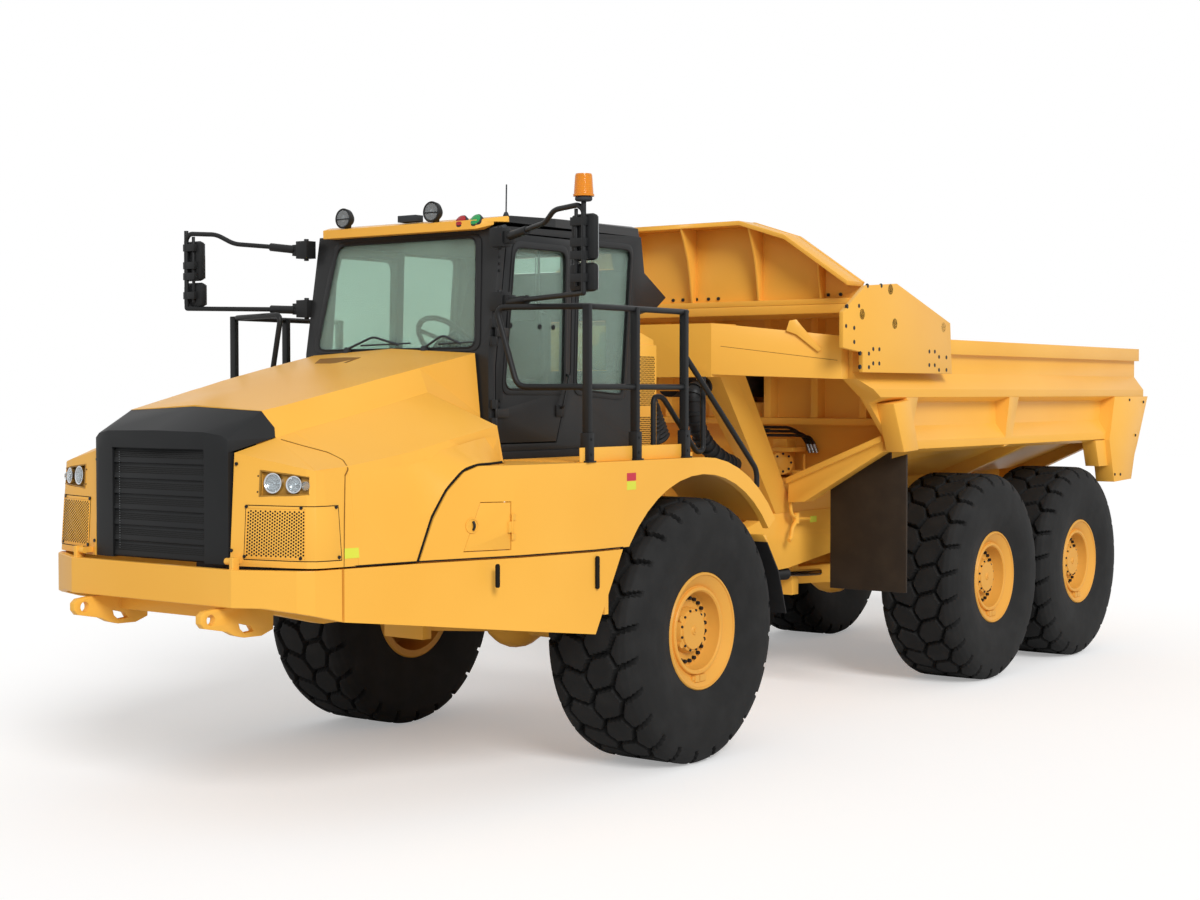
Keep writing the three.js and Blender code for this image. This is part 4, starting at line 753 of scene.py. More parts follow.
def add_grille():
    """Seven leaning louvre plates of fine perforated sheet behind the surround."""
    plates, pitch, foot = Shape(), 95, 1588
    holes = []
    for i in range(7):
        low = foot + i * pitch
        high = low + pitch - 9
        plates.prism("x", [(-3392, low), (-3406, low + 5), (-3394, high), (-3386, high)], -411, 411)
        for row in range(4):
            for column in range(66):
                x = -402 + (column + 0.5 * (row % 2)) * 12.2
                share = (row + 3.2) / 7.5
                holes.append(((x, -3406.5 + 12 * share, low + 5 + (high - low - 5) * share), (0, -1, 0.14)))
    plates.piece("grille_louvres", GRILLE_BLACK, "hood", "black_paint", 2)
    studs("grille_holes", holes, 3.6, 1.2, HOLE_BLACK, "hood")
    edge = [((-352, -3408, z), (0, -1, 0)) for z in range(1640, 2240, 15)]
    studs("grille_rivets", edge, 2.2, 3, ZINC, "hood")


# ---------------------------------------------------------------- deck fittings
RAIL_X = 1640
POSTS = (-1290, -762, -185)


def add_handrails():
    """The rail along each side of the deck, with its posts, feet and yellow toe boards."""
    rails, boards = Shape(), Shape()
    top, middle = 3140, 2625
    rails.tube([(RAIL_X, -150, top), (RAIL_X, -1290, top), (1000, -1430, top + 4), (1150, -1395, middle),
                (RAIL_X, -1290, middle), (RAIL_X, -150, middle)], 20, 70)
    rails.tube([(RAIL_X, -185, 2850), (RAIL_X, 60, 2640), (RAIL_X, 763, 2024), (RAIL_X, 763, 1900)], 20, 60)
    for y in POSTS:
        rails.box(RAIL_X - 26, RAIL_X + 26, y - 20, y + 20, DECK_Z + 1, top + 12)
        rails.box(RAIL_X - 34, RAIL_X + 34, y - 30, y + 30, DECK_Z + 1, DECK_Z + 190)
        rails.box(RAIL_X - 46, RAIL_X + 42, y - 44, y + 44, DECK_Z + 1, DECK_Z + 12)
    for start, end in ((-1368, -800), (-727, -222)):
        boards.box(RAIL_X - 6, RAIL_X + 4, start, end, DECK_Z + 1, DECK_Z + 96)
        boards.box(RAIL_X - 30, RAIL_X - 6, start, end, DECK_Z + 1, DECK_Z + 8)
    left = rails.piece("deck_rails_left", BLACK_ENAMEL, "tractor", "black_paint", 3)
    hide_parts("handrail_left")
    boards.mirrored().piece("toe_boards", YELLOW, "tractor", "yellow_paint", 2)
    rails.vertices = [(-x, y, z) for x, y, z in rails.vertices]
    right = rails.piece("deck_rails_right", BLACK_ENAMEL, "tractor", "black_paint", 3)
    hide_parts("handrail_right")
    collars = [((RAIL_X + 34, y, z), (1, 0, 0)) for y in POSTS for z in (2190, 2290)]
    studs("rail_bolts", both_sides(collars), 9, 10, BLACK_ENAMEL, "tractor")


def add_deck_grip():
    """Punched grip domes on the walkway beside the cab."""
    pitch = 42
    columns, rows = 16, 30
    spots = [((930 + i * pitch, -1340 + j * pitch, DECK_Z + 0.5), (0, 0, 1))
             for i in range(columns) for j in range(rows)]
    studs("deck_grip", both_sides(spots), 9, 4, YELLOW, "tractor", 8)


MIRROR_X, MIRROR_Y = 1830, -1580


def mirror_set():
    """The left mirror arm with its brackets, the shells of its two heads, and their glass."""
    out, y = MIRROR_X, MIRROR_Y
    arm = Shape()
    arm.tube([(985, -1290, 3620), (1150, -1330, 3640), (1440, -1470, 3668), (1560, -1530, 3738),
              (out - 40, y, 3752), (out, y, 3715), (out, y, 3225), (out, y, 3205),
              (1150, -1340, 3190), (985, -1290, 3182)], 17, 45)
    for z in (3612, 3190):
        arm.box(852, 960, -1318, -1226, z - 62, z + 62)
        arm.box(950, 1010, -1306, -1238, z - 40, z + 40)
        arm.rod((900, -1272, z - 78), (900, -1272, z + 78), 17)
    arm.rod((1000, -1288, 3618), (1190, -1344, 3642), 29)
    arm.rod((1000, -1290, 3184), (1190, -1342, 3192), 29)
    arm.rod((out, y, 3690), (out, y, 3775), 16)
    arm.rod((out - 66, y + 10, 3250), (out - 66, y + 10, 3730), 12)
    for z in (3650, 3520, 3440, 3300):
        arm.box(out - 96, out + 22, y - 14, y + 34, z - 26, z + 26)
    heads = Shape()
    heads.box(1707, 1897, y + 18, y + 84, 3408, 3700)
    heads.box(1692, 1897, y + 18, y + 84, 3215, 3395)
    glass = Shape()
    glass.box(1722, 1882, y + 83, y + 87, 3426, 3682)
    glass.box(1708, 1882, y + 83, y + 87, 3232, 3378)
    return arm, heads, glass


def add_mirrors():
    """The same set of mirrors on both sides."""
    for side, sign in SIDES.items():
        arm, heads, glass = mirror_set()
        for shape in (arm, heads, glass):
            shape.vertices = [(sign * x, y, z) for x, y, z in map(tuple, shape.vertices)]
        arm_piece = arm.piece(f"mirror_arm_{side}", BLACK_ENAMEL, "tractor", "black_paint", 4)
        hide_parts(f"mirror_{side}")
        heads.piece(f"mirror_heads_{side}", GRILLE_BLACK, "tractor", "black_paint", 30)
        glass.piece(f"mirror_glass_{side}", CHROME, "tractor", "hard_chrome", 1)


def add_beacon():
    """The ribbed amber dome on top of the left mirror arm, on its plastic foot."""
    up = (0, 0, 1)
    foot = [(0, 0), (0, 46), (8, 54), (22, 54), (30, 46), (30, 0)]
    base = Shape().turned(foot, (MIRROR_X, MIRROR_Y, 3772), up, 36)
    base.piece("beacon_base", TRIM_PLASTIC, "tractor", "black_paint")
    ribs = [(14 + 6 * i, 62 - 0.4 * i - 1.6 * (i % 2)) for i in range(20)]
    dome = [(0, 0), (0, 66), (12, 66), *ribs, (138, 50), (141, 0)]
    lens = Shape().turned(dome, (MIRROR_X, MIRROR_Y, 3802), up, 40)
    lens.piece("beacon_dome", AMBER_LENS, "tractor", "tinted_glass")


# ---------------------------------------------------------------- cab
CAB_SIDE = 850
DOOR_WINDOW = [(-1175, 2600), (-1060, 3580), (-478, 3580), (-505, 2600)]
REAR_WINDOW = [(-345, 3640), (-385, 2600), (200, 2560), (300, 3640)]
RIGHT_WINDOW = [(-1150, 2600), (-1050, 3580), (-420, 3580), (-450, 2600)]
SCREEN_FOOT, SCREEN_HEAD = (-1330, 2860), (-1188, 3700)
SCREEN_CORNERS = [(-749, 2880), (749, 2880), (656, 3640), (-656, 3640)]


def loop(corners, bend):
    """A closed outline with its corners rounded."""
    points = []
    for i, here in enumerate(corners):
        here = Vector(here)
        ends = []
        for other in (corners[i - 1], corners[(i + 1) % len(corners)]):
            way = Vector(other) - here
            ends.append(here + way.normalized() * min(bend, way.length * 0.45))
        points += corner_curve(ends[0], here, ends[1])
    return points


def swollen(corners, amount):
    """An outline of pairs with each corner moved away from the middle."""
    middle = sum((Vector(c) for c in corners), Vector((0, 0))) / len(corners)
    return [Vector(c) + (Vector(c) - middle).normalized() * amount for c in corners]


def window_ring(shape, seal, corners, place, depth, bend=80):
    """A frame round an opening and the bead of rubber along its rounded inner edge. place
    turns an (across, up) pair into a point, and depth is how far the frame stands out."""
    outer = [place(*p) for p in loop(swollen(corners, 34), bend)]
    inner = [place(*p) for p in loop(swollen(corners, -12), bend)]
    shape.ring(outer, inner, depth)
    seal.tube([p + Vector(depth) * 0.6 for p in inner + inner[:1]], 8, 0, 8)


def at_side(x):
    """Turns (y, z) into a point on the side of the cab at x."""
    return lambda y, z: Vector((x, y, z))


def screen_point(x, z, out=0):
    """A point on the windscreen, by its x and z, that stands out by so much."""
    (foot_y, foot_z), (head_y, head_z) = SCREEN_FOOT, SCREEN_HEAD
    y = foot_y + (z - foot_z) * (head_y - foot_y) / (head_z - foot_z)
    return Vector((x, y - out, z))


def add_window_rings():
    """A pressed frame and a rubber bead round the windscreen and the side and door windows."""
    left, right = at_side(CAB_SIDE - 1), at_side(1 - CAB_SIDE)
    proud = 7
    cab = [(REAR_WINDOW, left, (proud, 0, 0)), (RIGHT_WINDOW, right, (-proud, 0, 0)),
           (REAR_WINDOW, right, (-proud, 0, 0)), (SCREEN_CORNERS, screen_point, (0, -proud, 0))]
    door = [(DOOR_WINDOW, left, (proud, 0, 0))]
    for name, body, openings in (("cab_window_frames", "tractor", cab),
                                 ("door_window_frame", BODY_OF["cab_door"], door)):
        frames, seals = Shape(), Shape()
        for corners, place, depth in openings:
            window_ring(frames, seals, corners, place, depth)
        frames.piece(name, CAB_BLACK, body, "black_paint", 2)
        seals.piece(name + "_seals", HOSE_RUBBER, body, "black_paint")


def add_sliding_window():
    """The sliding pane in the upper half of the door window, with its latches."""
    body = BODY_OF["cab_door"]
    slider = [(-1075, 3085), (-1018, 3530), (-770, 3530), (-780, 3085)]
    place = at_side(806)
    rail = Shape()
    outer = [place(*p) for p in loop(swollen(slider, 12), 40)]
    inner = [place(*p) for p in loop(slider, 34)]
    rail.ring(outer, inner, (-8, 0, 0))
    rail.box(796, 808, -742, -726, 3050, 3560)
    rail.piece("door_slider_frame", TRIM_PLASTIC, body, "black_paint", 2)
    knobs = [((822, y, 3040), (1, 0, 0)) for y in (-1066, -747, -597)]
    studs("slider_knobs", knobs, 17, 12, HOSE_RUBBER, body, 20)


def add_door_fittings():
    """The door's handle, and the bolts of its two hinges."""
    body = BODY_OF["cab_door"]
    grip = Shape()
    grip.tube([(852, -560, 2480), (884, -560, 2490), (884, -490, 2700), (852, -488, 2712)], 10, 24)
    grip.box(848, 862, -610, -520, 2420, 2500)
    grip.piece("door_handle", BLACK_ENAMEL, body, "black_paint", 3)
    spots = [((854, -1215, z + rise), (1, 0, 0)) for z in (2440, 3400) for rise in (0, 46, 92)]
    studs("door_hinge_bolts", spots, 10, 8, BLACK_ENAMEL, body)


def add_cab_glass():
    """The panes that the CAD model leaves out, at the back and on the right."""
    panes = Shape()
    panes.box(-615, 615, 318, 326, 2755, 3115)
    panes.box(-615, 615, 392, 400, 3505, 3615)
    panes.piece("rear_panes", GLASS, "tractor", "tinted_glass")
    right = Shape().prism("x", [(-343, 3638), (-383, 2602), (198, 2562), (298, 3638)], -828, -820)
    right.piece("right_rear_pane", GLASS, "tractor", "tinted_glass")


def add_cab_sill():
    """The skirt that closes the gap between the cab and the deck."""
    skirt = Shape()
    skirt.box(770, 866, -1322, 346, DECK_Z - 24, 2192)
    skirt.mirrored()
    skirt.box(-800, 800, -1328, -1250, DECK_Z - 24, 2192)
    skirt.piece("cab_skirt", HOSE_RUBBER, "tractor", "black_paint", 6)


def add_cab_roof():
    """The yellow visor over the windscreen and the black roof behind it, from one CAD solid."""
    seam = -1105
    visor = refine("cab_roof", YELLOW, 22, 20, "roof_visor", ("y", seam, -1))
    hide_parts("cab_roof")
    refine("cab_roof", CAB_BLACK, 22, 20, "roof_shell", ("y", seam, 1))


def add_roof_fittings():
    """The work lamps, a small black box, the aerial and a bent tube at the roof's corner."""
    front = -1260
    tilt = (0, -1, 0.05)
    shell = [(0, 0), (0, 44), (34, 68), (72, 72), (78, 68), (64, 44), (60, 0)]
    pods, faces, boxes = Shape(), Shape(), Shape()
    for x in (-517, 313):
        centre = (x, front + 40, 3812)
        pods.turned(shell, centre, tilt, 36)
        pods.box(x - 14, x + 14, front + 4, front + 40, 3738, 3790)
        faces.turned([(62, 0), (62, 60), (72, 58), (77, 0)], centre, tilt, 36)
        pods.box(x - 62, x + 62, front - 40, front - 32, 3807, 3813)
    pods.piece("work_lamps", GRILLE_BLACK, "tractor", "black_paint", 1)
    faces.piece("work_lamp_lenses", CLEAR_LENS, "tractor", "tinted_glass")
    boxes.box(-52, 116, front + 30, front + 110, 3766, 3812)
    boxes.rod((790, -1070, 3770), (786, -1060, 3990), 5)
    boxes.turned([(0, 0), (0, 22), (26, 12), (30, 0)], (790, -1070, 3776), (0, 0, 1), 16)
    boxes.tube([(846, -1290, 3660), (846, -1170, 3690), (820, -1120, 3700)], 17, 30)
    boxes.piece("roof_boxes", TRIM_PLASTIC, "tractor", "black_paint", 3)


def add_marker_lamps():
    """The red and the green lamp on the visor, each in its ring."""
    facing = (0, -1, 0.62)
    rim = [(-20, 0), (-20, 48), (6, 48), (10, 44), (10, 0)]
    dome = [(0, 0), (0, 41), (14, 41), (22, 28), (24, 0)]
    for name, x, lens in (("red", 560, RED_LENS), ("green", 690, GREEN_LENS)):
        place = (x, -1262, 3738)
        ring = Shape().turned(rim, place, facing, 36)
        ring.piece(f"{name}_lamp_ring", TRIM_PLASTIC, "tractor", "black_paint")
        lamp = Shape().turned(dome, place, facing, 36)
        lamp.piece(f"{name}_marker_lamp", lens, "tractor", "tinted_glass")


def add_wipers():
    """Two wipers: each an arm, a blade along the windscreen's foot, and a pivot."""
    arms = Shape()
    for pivot, tip in ((-420, 60), (300, 620)):
        arms.tube([screen_point(pivot, 2890, 30), screen_point((pivot + tip) / 2, 2975, 34),
                   screen_point(tip, 2915, 26)], 8, 40)
        arms.tube([screen_point(pivot + 120, 2915, 18), screen_point(tip + 100, 2925, 16)], 6)
        arms.rod(screen_point(pivot, 2880, 0), screen_point(pivot, 2884, 40), 22)
    arms.piece("wipers", TRIM_PLASTIC, "tractor", "black_paint")


def crowned(name, low, high, body, crown=0.35):
    """A stuffed cushion: a cage of rings that subdivision turns into a crowned pad."""
    low, high = Vector(low), Vector(high)
    middle = (low + high) / 2
    half = (high - low) / 2
    shape = bmesh.new()
    bmesh.ops.create_cube(shape, size=2)
    bmesh.ops.subdivide_edges(shape, edges=shape.edges, cuts=4, use_grid_fill=True)
    for vertex in shape.verts:
        x, y, z = vertex.co
        pull = 1 - 0.07 * ((1 - x * x) * abs(y) + (1 - y * y) * abs(x))
        rise = 1 + crown * (1 - x * x) * (1 - y * y) * 0.5
        vertex.co = Vector((x * half.x * pull, y * half.y * pull, z * half.z * rise * 0.8)) + middle
        vertex.co = Vector(placed([vertex.co])[0])
    mesh = bpy.data.meshes.new(name)
    shape.to_mesh(mesh)
    shape.free()
    piece = stood(name, mesh)
    smooth = piece.modifiers.new("round", "SUBSURF")
    smooth.levels = 2
    smooth.render_levels = 2
    bake(piece)
    piece.data.materials.clear()
    piece.data.materials.append(SEAT_CLOTH)
    piece.data.shade_smooth()
    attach(piece, body)
    return piece


def add_seat():
    """The driver's cushion and backrest, on a plastic base."""
    cushion = crowned("seat_cushion", (-258, -518, 2560), (258, -4, 2698), "tractor")
    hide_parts("seat")
    crowned("seat_back", (-235, 4, 2640), (235, 150, 3240), "tractor")
    base = Shape()
    base.box(-200, 200, -440, -60, 2256, 2540)
    base.box(-215, 215, 60, 120, 2560, 3180)
    base.piece("seat_base", TRIM_PLASTIC, "tractor", "cab_trim", 10)


# ---------------------------------------------------------------- fittings along the sides
CARRIAGE_X = 1797
CHEEK_X = 1750
CARRIAGE_PLUGS = [(2521, 3409), (2055, 3196), (2596, 3138), (3468, 3134)]
CARRIAGE_COVERS = [(2287, 2873), (3257, 2871)]
CARRIAGE_BOLTS = [(2144, 3420), (2369, 3431), (1820, 3248), (2003, 3259), (1800, 3097), (1928, 3086),
                  (1929, 2978), (2030, 2893), (2166, 2892), (2031, 2787), (2167, 2786), (3385, 2885),
                  (3522, 2883), (3386, 2776), (3524, 2777)]
CHEEK_BOLTS = [(7828, 2512), (8220, 2489), (8002, 2146), (7442, 1760), (7591, 1755)]


def side_spots(x, spots):
    """(point, facing) pairs on both sides of the truck, for (y, z) spots at x."""
    return both_sides([((x, y, z), (1, 0, 0)) for y, z in spots])


def add_carriage_fittings():
    """Covers, plugs and bolts on the carriage, and the bolts on the cheeks at the body's rear."""
    covers = Shape()
    for y, z in CARRIAGE_COVERS:
        covers.prism("x", [(y - 66, z - 74), (y + 66, z - 74), (y + 66, z + 74), (y - 66, z + 74)],
                     CARRIAGE_X - 12, CARRIAGE_X - 1)
    body = BODY_OF["carriage_left"]
    covers.mirrored().piece("carriage_covers", YELLOW, body, "yellow_paint", 3)
    corners = [(y + dy, z + dz) for y, z in CARRIAGE_COVERS for dy in (-50, 50) for dz in (-56, 56)]
    studs("carriage_bolts", side_spots(CARRIAGE_X - 6, CARRIAGE_BOLTS + corners), 18, 14, BLACK_ENAMEL, body)
    plugs = side_spots(CARRIAGE_X - 4, CARRIAGE_PLUGS)
    studs("carriage_plugs", plugs, 42, 8, HOLE_BLACK, body, 24)
    studs("cheek_bolts_rear", side_spots(CHEEK_X + 2, CHEEK_BOLTS), 14, 12, BLACK_ENAMEL,
          BODY_OF["body_side_left"])


def add_labels():
    """Blank safety labels: a plain red field, and plain yellow ones."""
    red, yellow, low = Shape(), Shape(), Shape()
    red.box(1689, 1691.5, -926, -824, 2010, 2061).mirrored()
    yellow.box(1689, 1691.5, -926, -824, 1950, 2006).mirrored()
    low.box(659, 662, 3224, 3333, 1464, 1517)
    side = Shape()
    corners = ((-3042, 1625, 1198), (-2943, 1625, 1219), (-2943, 1684, 1212), (-3042, 1684, 1191))
    side.loft([[(x + out, y, z) for y, z, x in corners] for out in (-2, 1.5)])
    side.mirrored().piece("hood_label", LABEL_YELLOW, "hood", "yellow_paint")
    red.piece("red_label", LABEL_RED, "tractor", "yellow_paint")
    yellow.piece("yellow_label", LABEL_YELLOW, "tractor", "yellow_paint")
    low.piece("frame_label", LABEL_YELLOW, BODY_OF["trailer_frame"], "yellow_paint")


def add_skirt_slots():
    """The lifting slots in the fender skirts."""
    holes = Shape()
    for x, y, low, high in ((1562, -2089, 1398, 1544), (1692, -1243, 1328, 1540)):
        outline = [(y + 15 * math.cos(a), (high - 15 if a <= math.pi else low + 15) + 15 * math.sin(a))
                   for a in np.linspace(0, 2 * math.pi, 25)[:-1]]
        holes.prism("x", outline, x - 12, x + 1.5)
    holes.mirrored().piece("skirt_slots", HOLE_BLACK, "tractor", "black_paint")


def add_front_flaps():
    """The rubber flap hung behind each front wheel, on its steel hanger."""
    flap, hanger = Shape(), Shape()
    line = [(792, 1552), (806, 1552), (1010, 1270), (1120, 950), (1106, 946), (996, 1262)]
    flap.prism("x", line, 1010, 1684)
    hanger.prism("x", [(770, 1552), (812, 1552), (846, 1500), (834, 1494)], 1000, 1688)
    flap.mirrored().piece("front_flaps", HOSE_RUBBER, "tractor", "flap_rubber", 4)
    hanger.mirrored().piece("front_flap_hangers", YELLOW, "tractor", "yellow_paint", 2)


def add_cooler_vents():
    """The two perforated fields on the cooler's side."""
    pitch = 17
    spots = []
    for low, high in ((2196, 2422), (2495, 2879)):
        for row in range(int((high - low) / (pitch * HEX_ROW))):
            for column in range(11):
                y = 412 + (column + 0.5 * (row % 2)) * pitch
                spots.append(((850.4, y, low + row * pitch * HEX_ROW), (1, 0, 0)))
    studs("cooler_vents", spots, 5.8, 2, HOLE_BLACK, "tractor")


# ---------------------------------------------------------------- round the hitch
TRAILER = BODY_OF["front_portal"]
ARM_START = Vector((851, 1478, 0))
ARM_ALONG = Vector((0.805, 0.593, 0))
ARM_OUT = Vector((0.593, -0.805, 0))


def on_arm(along, z, out=0):
    """A point on the portal's slanting upper arm, by how far out along it and how high."""
    return ARM_START + ARM_ALONG * along + ARM_OUT * out + Vector((0, 0, z))


def add_portal_fittings():
    """Weld lines, drawn in painted shade, and lifting lugs on the portal's upper arms."""
    seam, lug = Shape(), Shape()
    seam.loft([[on_arm(along, z + up, out) for up, out in ((-2, -1), (2, -1), (2, 1), (-2, 1))]
               for along, z in ((10, 2950), (925, 2840))])
    outline = [(520, 3070), (545, 3150), (600, 3160), (640, 3110), (800, 2925), (770, 2905), (600, 3040)]
    lug.loft([[on_arm(along, z, out) for along, z in outline] for out in (1, 26)])
    seam.mirrored().piece("portal_weld_seams", SEAM_PAINTED_SHADE, TRAILER, "yellow_paint")
    lug.mirrored().piece("portal_lugs", YELLOW, TRAILER, "yellow_paint", 4)


def add_tilt_hoses():
    """Three hoses that run back from the hitch and turn down beside the pump, in ferrules."""
    hoses, ends = Shape(), Shape()
    ferrule = [(0, 0), (0, 17), (36, 17), (38, 21), (56, 21), (58, 17), (78, 17), (78, 0)]
    for i in range(3):
        x, drop = 612 + 34 * i, 34 * i
        hoses.tube([(x, 2300, 2305 - drop), (x, 2960 + 20 * i, 2290 - drop),
                    (x + 10, 3130 + 22 * i, 2230 - drop * 0.4), (x + 40, 3212, 2120)], 13, 150, 12)
        ends.turned(ferrule, (x + 32, 3196, 2142), (0.32, 0.14, -1), 18)
    hoses.rod((600, 2480, 2270), (700, 2480, 2270), 16)
    hoses.piece("tilt_hoses", HOSE_RUBBER, TRAILER, "black_paint")
    ends.piece("hose_ferrules", ZINC, TRAILER, "hard_chrome")


def add_pump():
    """The pump and its valve block, and the bolts round the pump's face."""
    pump, facing = Shape(), (0.82, -0.57, 0)
    flange = [(0, 0), (0, 92), (20, 104), (46, 104), (54, 92), (54, 60), (62, 52), (62, 0)]
    pump.turned(flange, (470, 3040, 1985), facing, 36)
    pump.box(380, 520, 3050, 3200, 1890, 2080)
    pump.box(420, 640, 2960, 3180, 2080, 2118)
    pump.box(420, 560, 3000, 3150, 2112, 2190)
    pump.box(560, 700, 3080, 3220, 1886, 1918)
    pump.rod((640, 3150, 1910), (640, 3150, 2056), 13)
    pump.piece("pump_block", YELLOW, TRAILER, "yellow_paint", 6)
    bolts = []
    for k in range(8):
        angle = k * math.pi / 4
        across = Vector((0.57, 0.82, 0)) * math.cos(angle) + Vector((0, 0, 1)) * math.sin(angle)
        bolts.append((tuple(Vector((514, 3009, 1985)) + across * 76), facing))
    studs("pump_bolts", bolts, 11, 14, BLACK_ENAMEL, TRAILER)


def add_frame_pipes():
    """Two bent pipes and a union on the left of the trailer's frame."""
    pipes = Shape()
    pipes.tube([(664, 2890, 1740), (664, 2890, 1560), (664, 2990, 1510), (664, 3200, 1500)], 15, 60)
    pipes.tube([(664, 3000, 1500), (664, 2920, 1440), (664, 2900, 1350), (664, 2860, 1330)], 19, 70)
    pipes.rod((664, 2985, 1470), (664, 2985, 1560), 26)
    pipes.piece("frame_pipes", YELLOW, TRAILER, "yellow_paint")


def add_lower_link():
    """The rod low on the left of the trailer's frame, and the folded boot on its front end."""
    rod = Shape().rod((500, 2920, 1030), (500, 3660, 992), 30)
    rod.piece("lower_link_rod", CHROME, TRAILER, "hard_chrome")
    folds = [(14 * k, 44 + 10 * (k % 2)) for k in range(14)]
    boot = Shape().turned([(0, 0), *folds, (190, 0)], (500, 2900, 1030), (0, 1, -0.05), 24)
    boot.piece("lower_link_boot", HOSE_RUBBER, TRAILER, "black_paint")


def add_grab_rail():
    """A bent grab rail at each edge of the deck, beside the cab."""
    rail = Shape()
    rail.tube([(1560, -438, DECK_Z + 2), (1560, -438, 2560), (1560, -330, 2560),
               (1560, 96, 2167), (1560, 175, 2180), (1560, 173, 2700)], 19, 60)
    rail.mirrored().piece("grab_rails", BLACK_ENAMEL, "tractor", "black_paint")


def add_hose_bundle():
    """The wrapped bundle of hoses over the hitch, with the clips along its bends."""
    bundle, clips = Shape(), Shape()
    line = rounded([(660, 1560, 2640), (660, 1390, 2600), (660, 1430, 2330), (660, 1600, 2150),
                    (660, 1850, 2030), (600, 2100, 2000)], 200)
    bundle.tube(line, 62, 10)
    bundle.piece("hose_bundle", HOSE_RUBBER, TRAILER, "black_paint")
    for start, end in zip(line[::2], line[1::2]):
        along = Vector(end) - Vector(start)
        clips.turned([(0, 0), (0, 74), (22, 74), (22, 0)], start, along.normalized(), 24)
    clips.piece("hose_bundle_clips", BLACK_ENAMEL, TRAILER, "black_paint")


def add_duct():
    """The ribbed rubber duct and the cooler's pipes between the cab and the hitch."""
    duct, pipes = Shape(), Shape()
    folds = [(16 * k, 96 + 14 * (k % 2)) for k in range(25)]
    duct.turned([(0, 0), *folds, (404, 0)], (660, 690, 2560), (0.05, 0.55, -1), 36)
    duct.tube([(760, 640, 2500), (760, 760, 2500), (740, 800, 2250), (740, 700, 2160)], 26, 90)
    duct.piece("ribbed_duct", HOSE_RUBBER, "tractor", "black_paint")
    for x in (600, 680):
        pipes.tube([(x, 620, 2330), (x, 700, 2330), (x, 720, 2200)], 18, 40)
    pipes.piece("cooler_pipes", CHROME, "tractor", "hard_chrome")


def add_tail_lamps():
    """Two round lamps in a black box on each side of the frame's tail."""
    boxes, red, amber = Shape(), Shape(), Shape()
    frame_end = BODY_OF["trailer_frame"]
    boxes.box(270, 470, 7350, 7410, 1420, 1540)
    dome = [(0, 0), (0, 44), (10, 42), (18, 32), (22, 0)]
    red.turned(dome, (320, 7408, 1480), (0, 1, 0), 28)
    amber.turned(dome, (420, 7408, 1480), (0, 1, 0), 28)
    boxes.mirrored().piece("tail_lamp_boxes", BLACK_ENAMEL, frame_end, "black_paint", 6)
    red.mirrored().piece("tail_lenses", LABEL_RED, frame_end, "tinted_glass")
    amber.mirrored().piece("turn_lenses", AMBER_LENS, frame_end, "tinted_glass")


def add_guard_bolts():
    """The row of bolts above the rock guard's foot."""
    row = (-1400, -1287, -640, -230, -130, 9, 130, 230, 640, 1287, 1400)
    spots = [((x, 2424, 3377), (0, -1, 0)) for x in row]
    studs("guard_bolts", spots, 15, 14, BLACK_ENAMEL, BODY_OF["ejector_guard"])


def add_box_brackets():
    """The box bracket under each body side, in front of the first rib."""
    box = Shape()
    outline = [(2640, 2500), (2930, 2530), (3090, 2112), (2830, 2100)]
    box.prism("x", outline, 1600, 1768)
    box.mirrored().piece("box_brackets", YELLOW, BODY_OF["body_side_left"], "yellow_paint", 12)


# The flare's sections along the hood: Y, then (X, Z) where it leaves the hood, of its fold and of
# its lower edge, and the X of its inside.
FLARE = [
    (-2900, (1158, 2150), (1199, 1850), (1229, 1590), 1223),
    (-2700, (1178, 2150), (1262, 1850), (1276, 1585), 1269),
    (-2553, (1192, 2150), (1309, 1850), (1312, 1578), 1300),
    (-2455, (1209, 2160), (1338, 1880), (1341, 1846), 1284),
    (-2362, (1224, 2180), (1366, 2030), (1373, 2004), 1277),
    (-2252, (1228, 2229), (1404, 2136), (1412, 2118), 1282),
    (-2150, (1236, 2252), (1428, 2162), (1436, 2148), 1286),
    (-1990, (1248, 2283), (1396, 2162), (1402, 2148), 1282),
    (-1850, (1255, 2306), (1338, 2162), (1342, 2148), 1276),
    (-1722, (1257, 2314), (1276, 2162), (1278, 2148), 1270),
]


def add_hood_flares():
    """The flare that carries the hood's side out to the fender."""
    flare = Shape()
    flare.loft([[(x, y, z) for x, z in (high, fold, low, (inside, low[1]))]
                for y, high, fold, low, inside in FLARE])
    flare.mirrored().piece("hood_flares", YELLOW, "hood", "yellow_paint")


def add_hood_seams():
    """The joint between the hood's top and its cheek, drawn in painted shade, and the seal along the flare's
    lower edge.
    """
    line, seal = Shape(), Shape()
    line.tube([(718, -3082, 2310), (825, -3031, 2278), (978, -2953, 2235), (1084, -2937, 2192),
               (1144, -2966, 2158), (1158, -2970, 2140), skin(812, 2104, 1)], 4, 14, 6)
    line.mirrored().piece("hood_seams", SEAM_PAINTED_SHADE, "hood", "yellow_paint")
    seal.tube([(low[0] + 1, y + 8, low[1]) for y, high, fold, low, inside in FLARE[2:]], 8, 40, 8)
    seal.mirrored().piece("hood_edge_seals", HOLE_BLACK, "hood", "black_paint")


def add_air_slot():
    """The slot on the hood's top, drawn in painted shade, just proud of its slope."""
    slot = Shape()
    outline = [(-304, -1786, 2785), (-463, -1574, 2820), (-209, -1610, 2826),
               (16, -1673, 2823), (52, -1849, 2784), (-97, -1849, 2782)]
    slot.loft([[(x, y, z + up) for x, y, z in outline] for up in (-8, 2)])
    slot.piece("hood_air_slot", SEAM_PAINTED_SHADE, "hood", "yellow_paint")


def add_fender_seams():
    """The dark joint along the fender, level with the hood's foot."""
    joint = Shape()
    corners = [(1199, -3046), (1314, -2541), (1552, -1867), (1671, -1271), (1690, -967)]
    section = ((-8, 1574), (2, 1574), (2, 1582), (-8, 1582))
    joint.loft([[(x + out, y, z) for out, z in section] for x, y in corners])
    joint.mirrored().piece("fender_seams", HOLE_BLACK, "tractor", "black_paint")


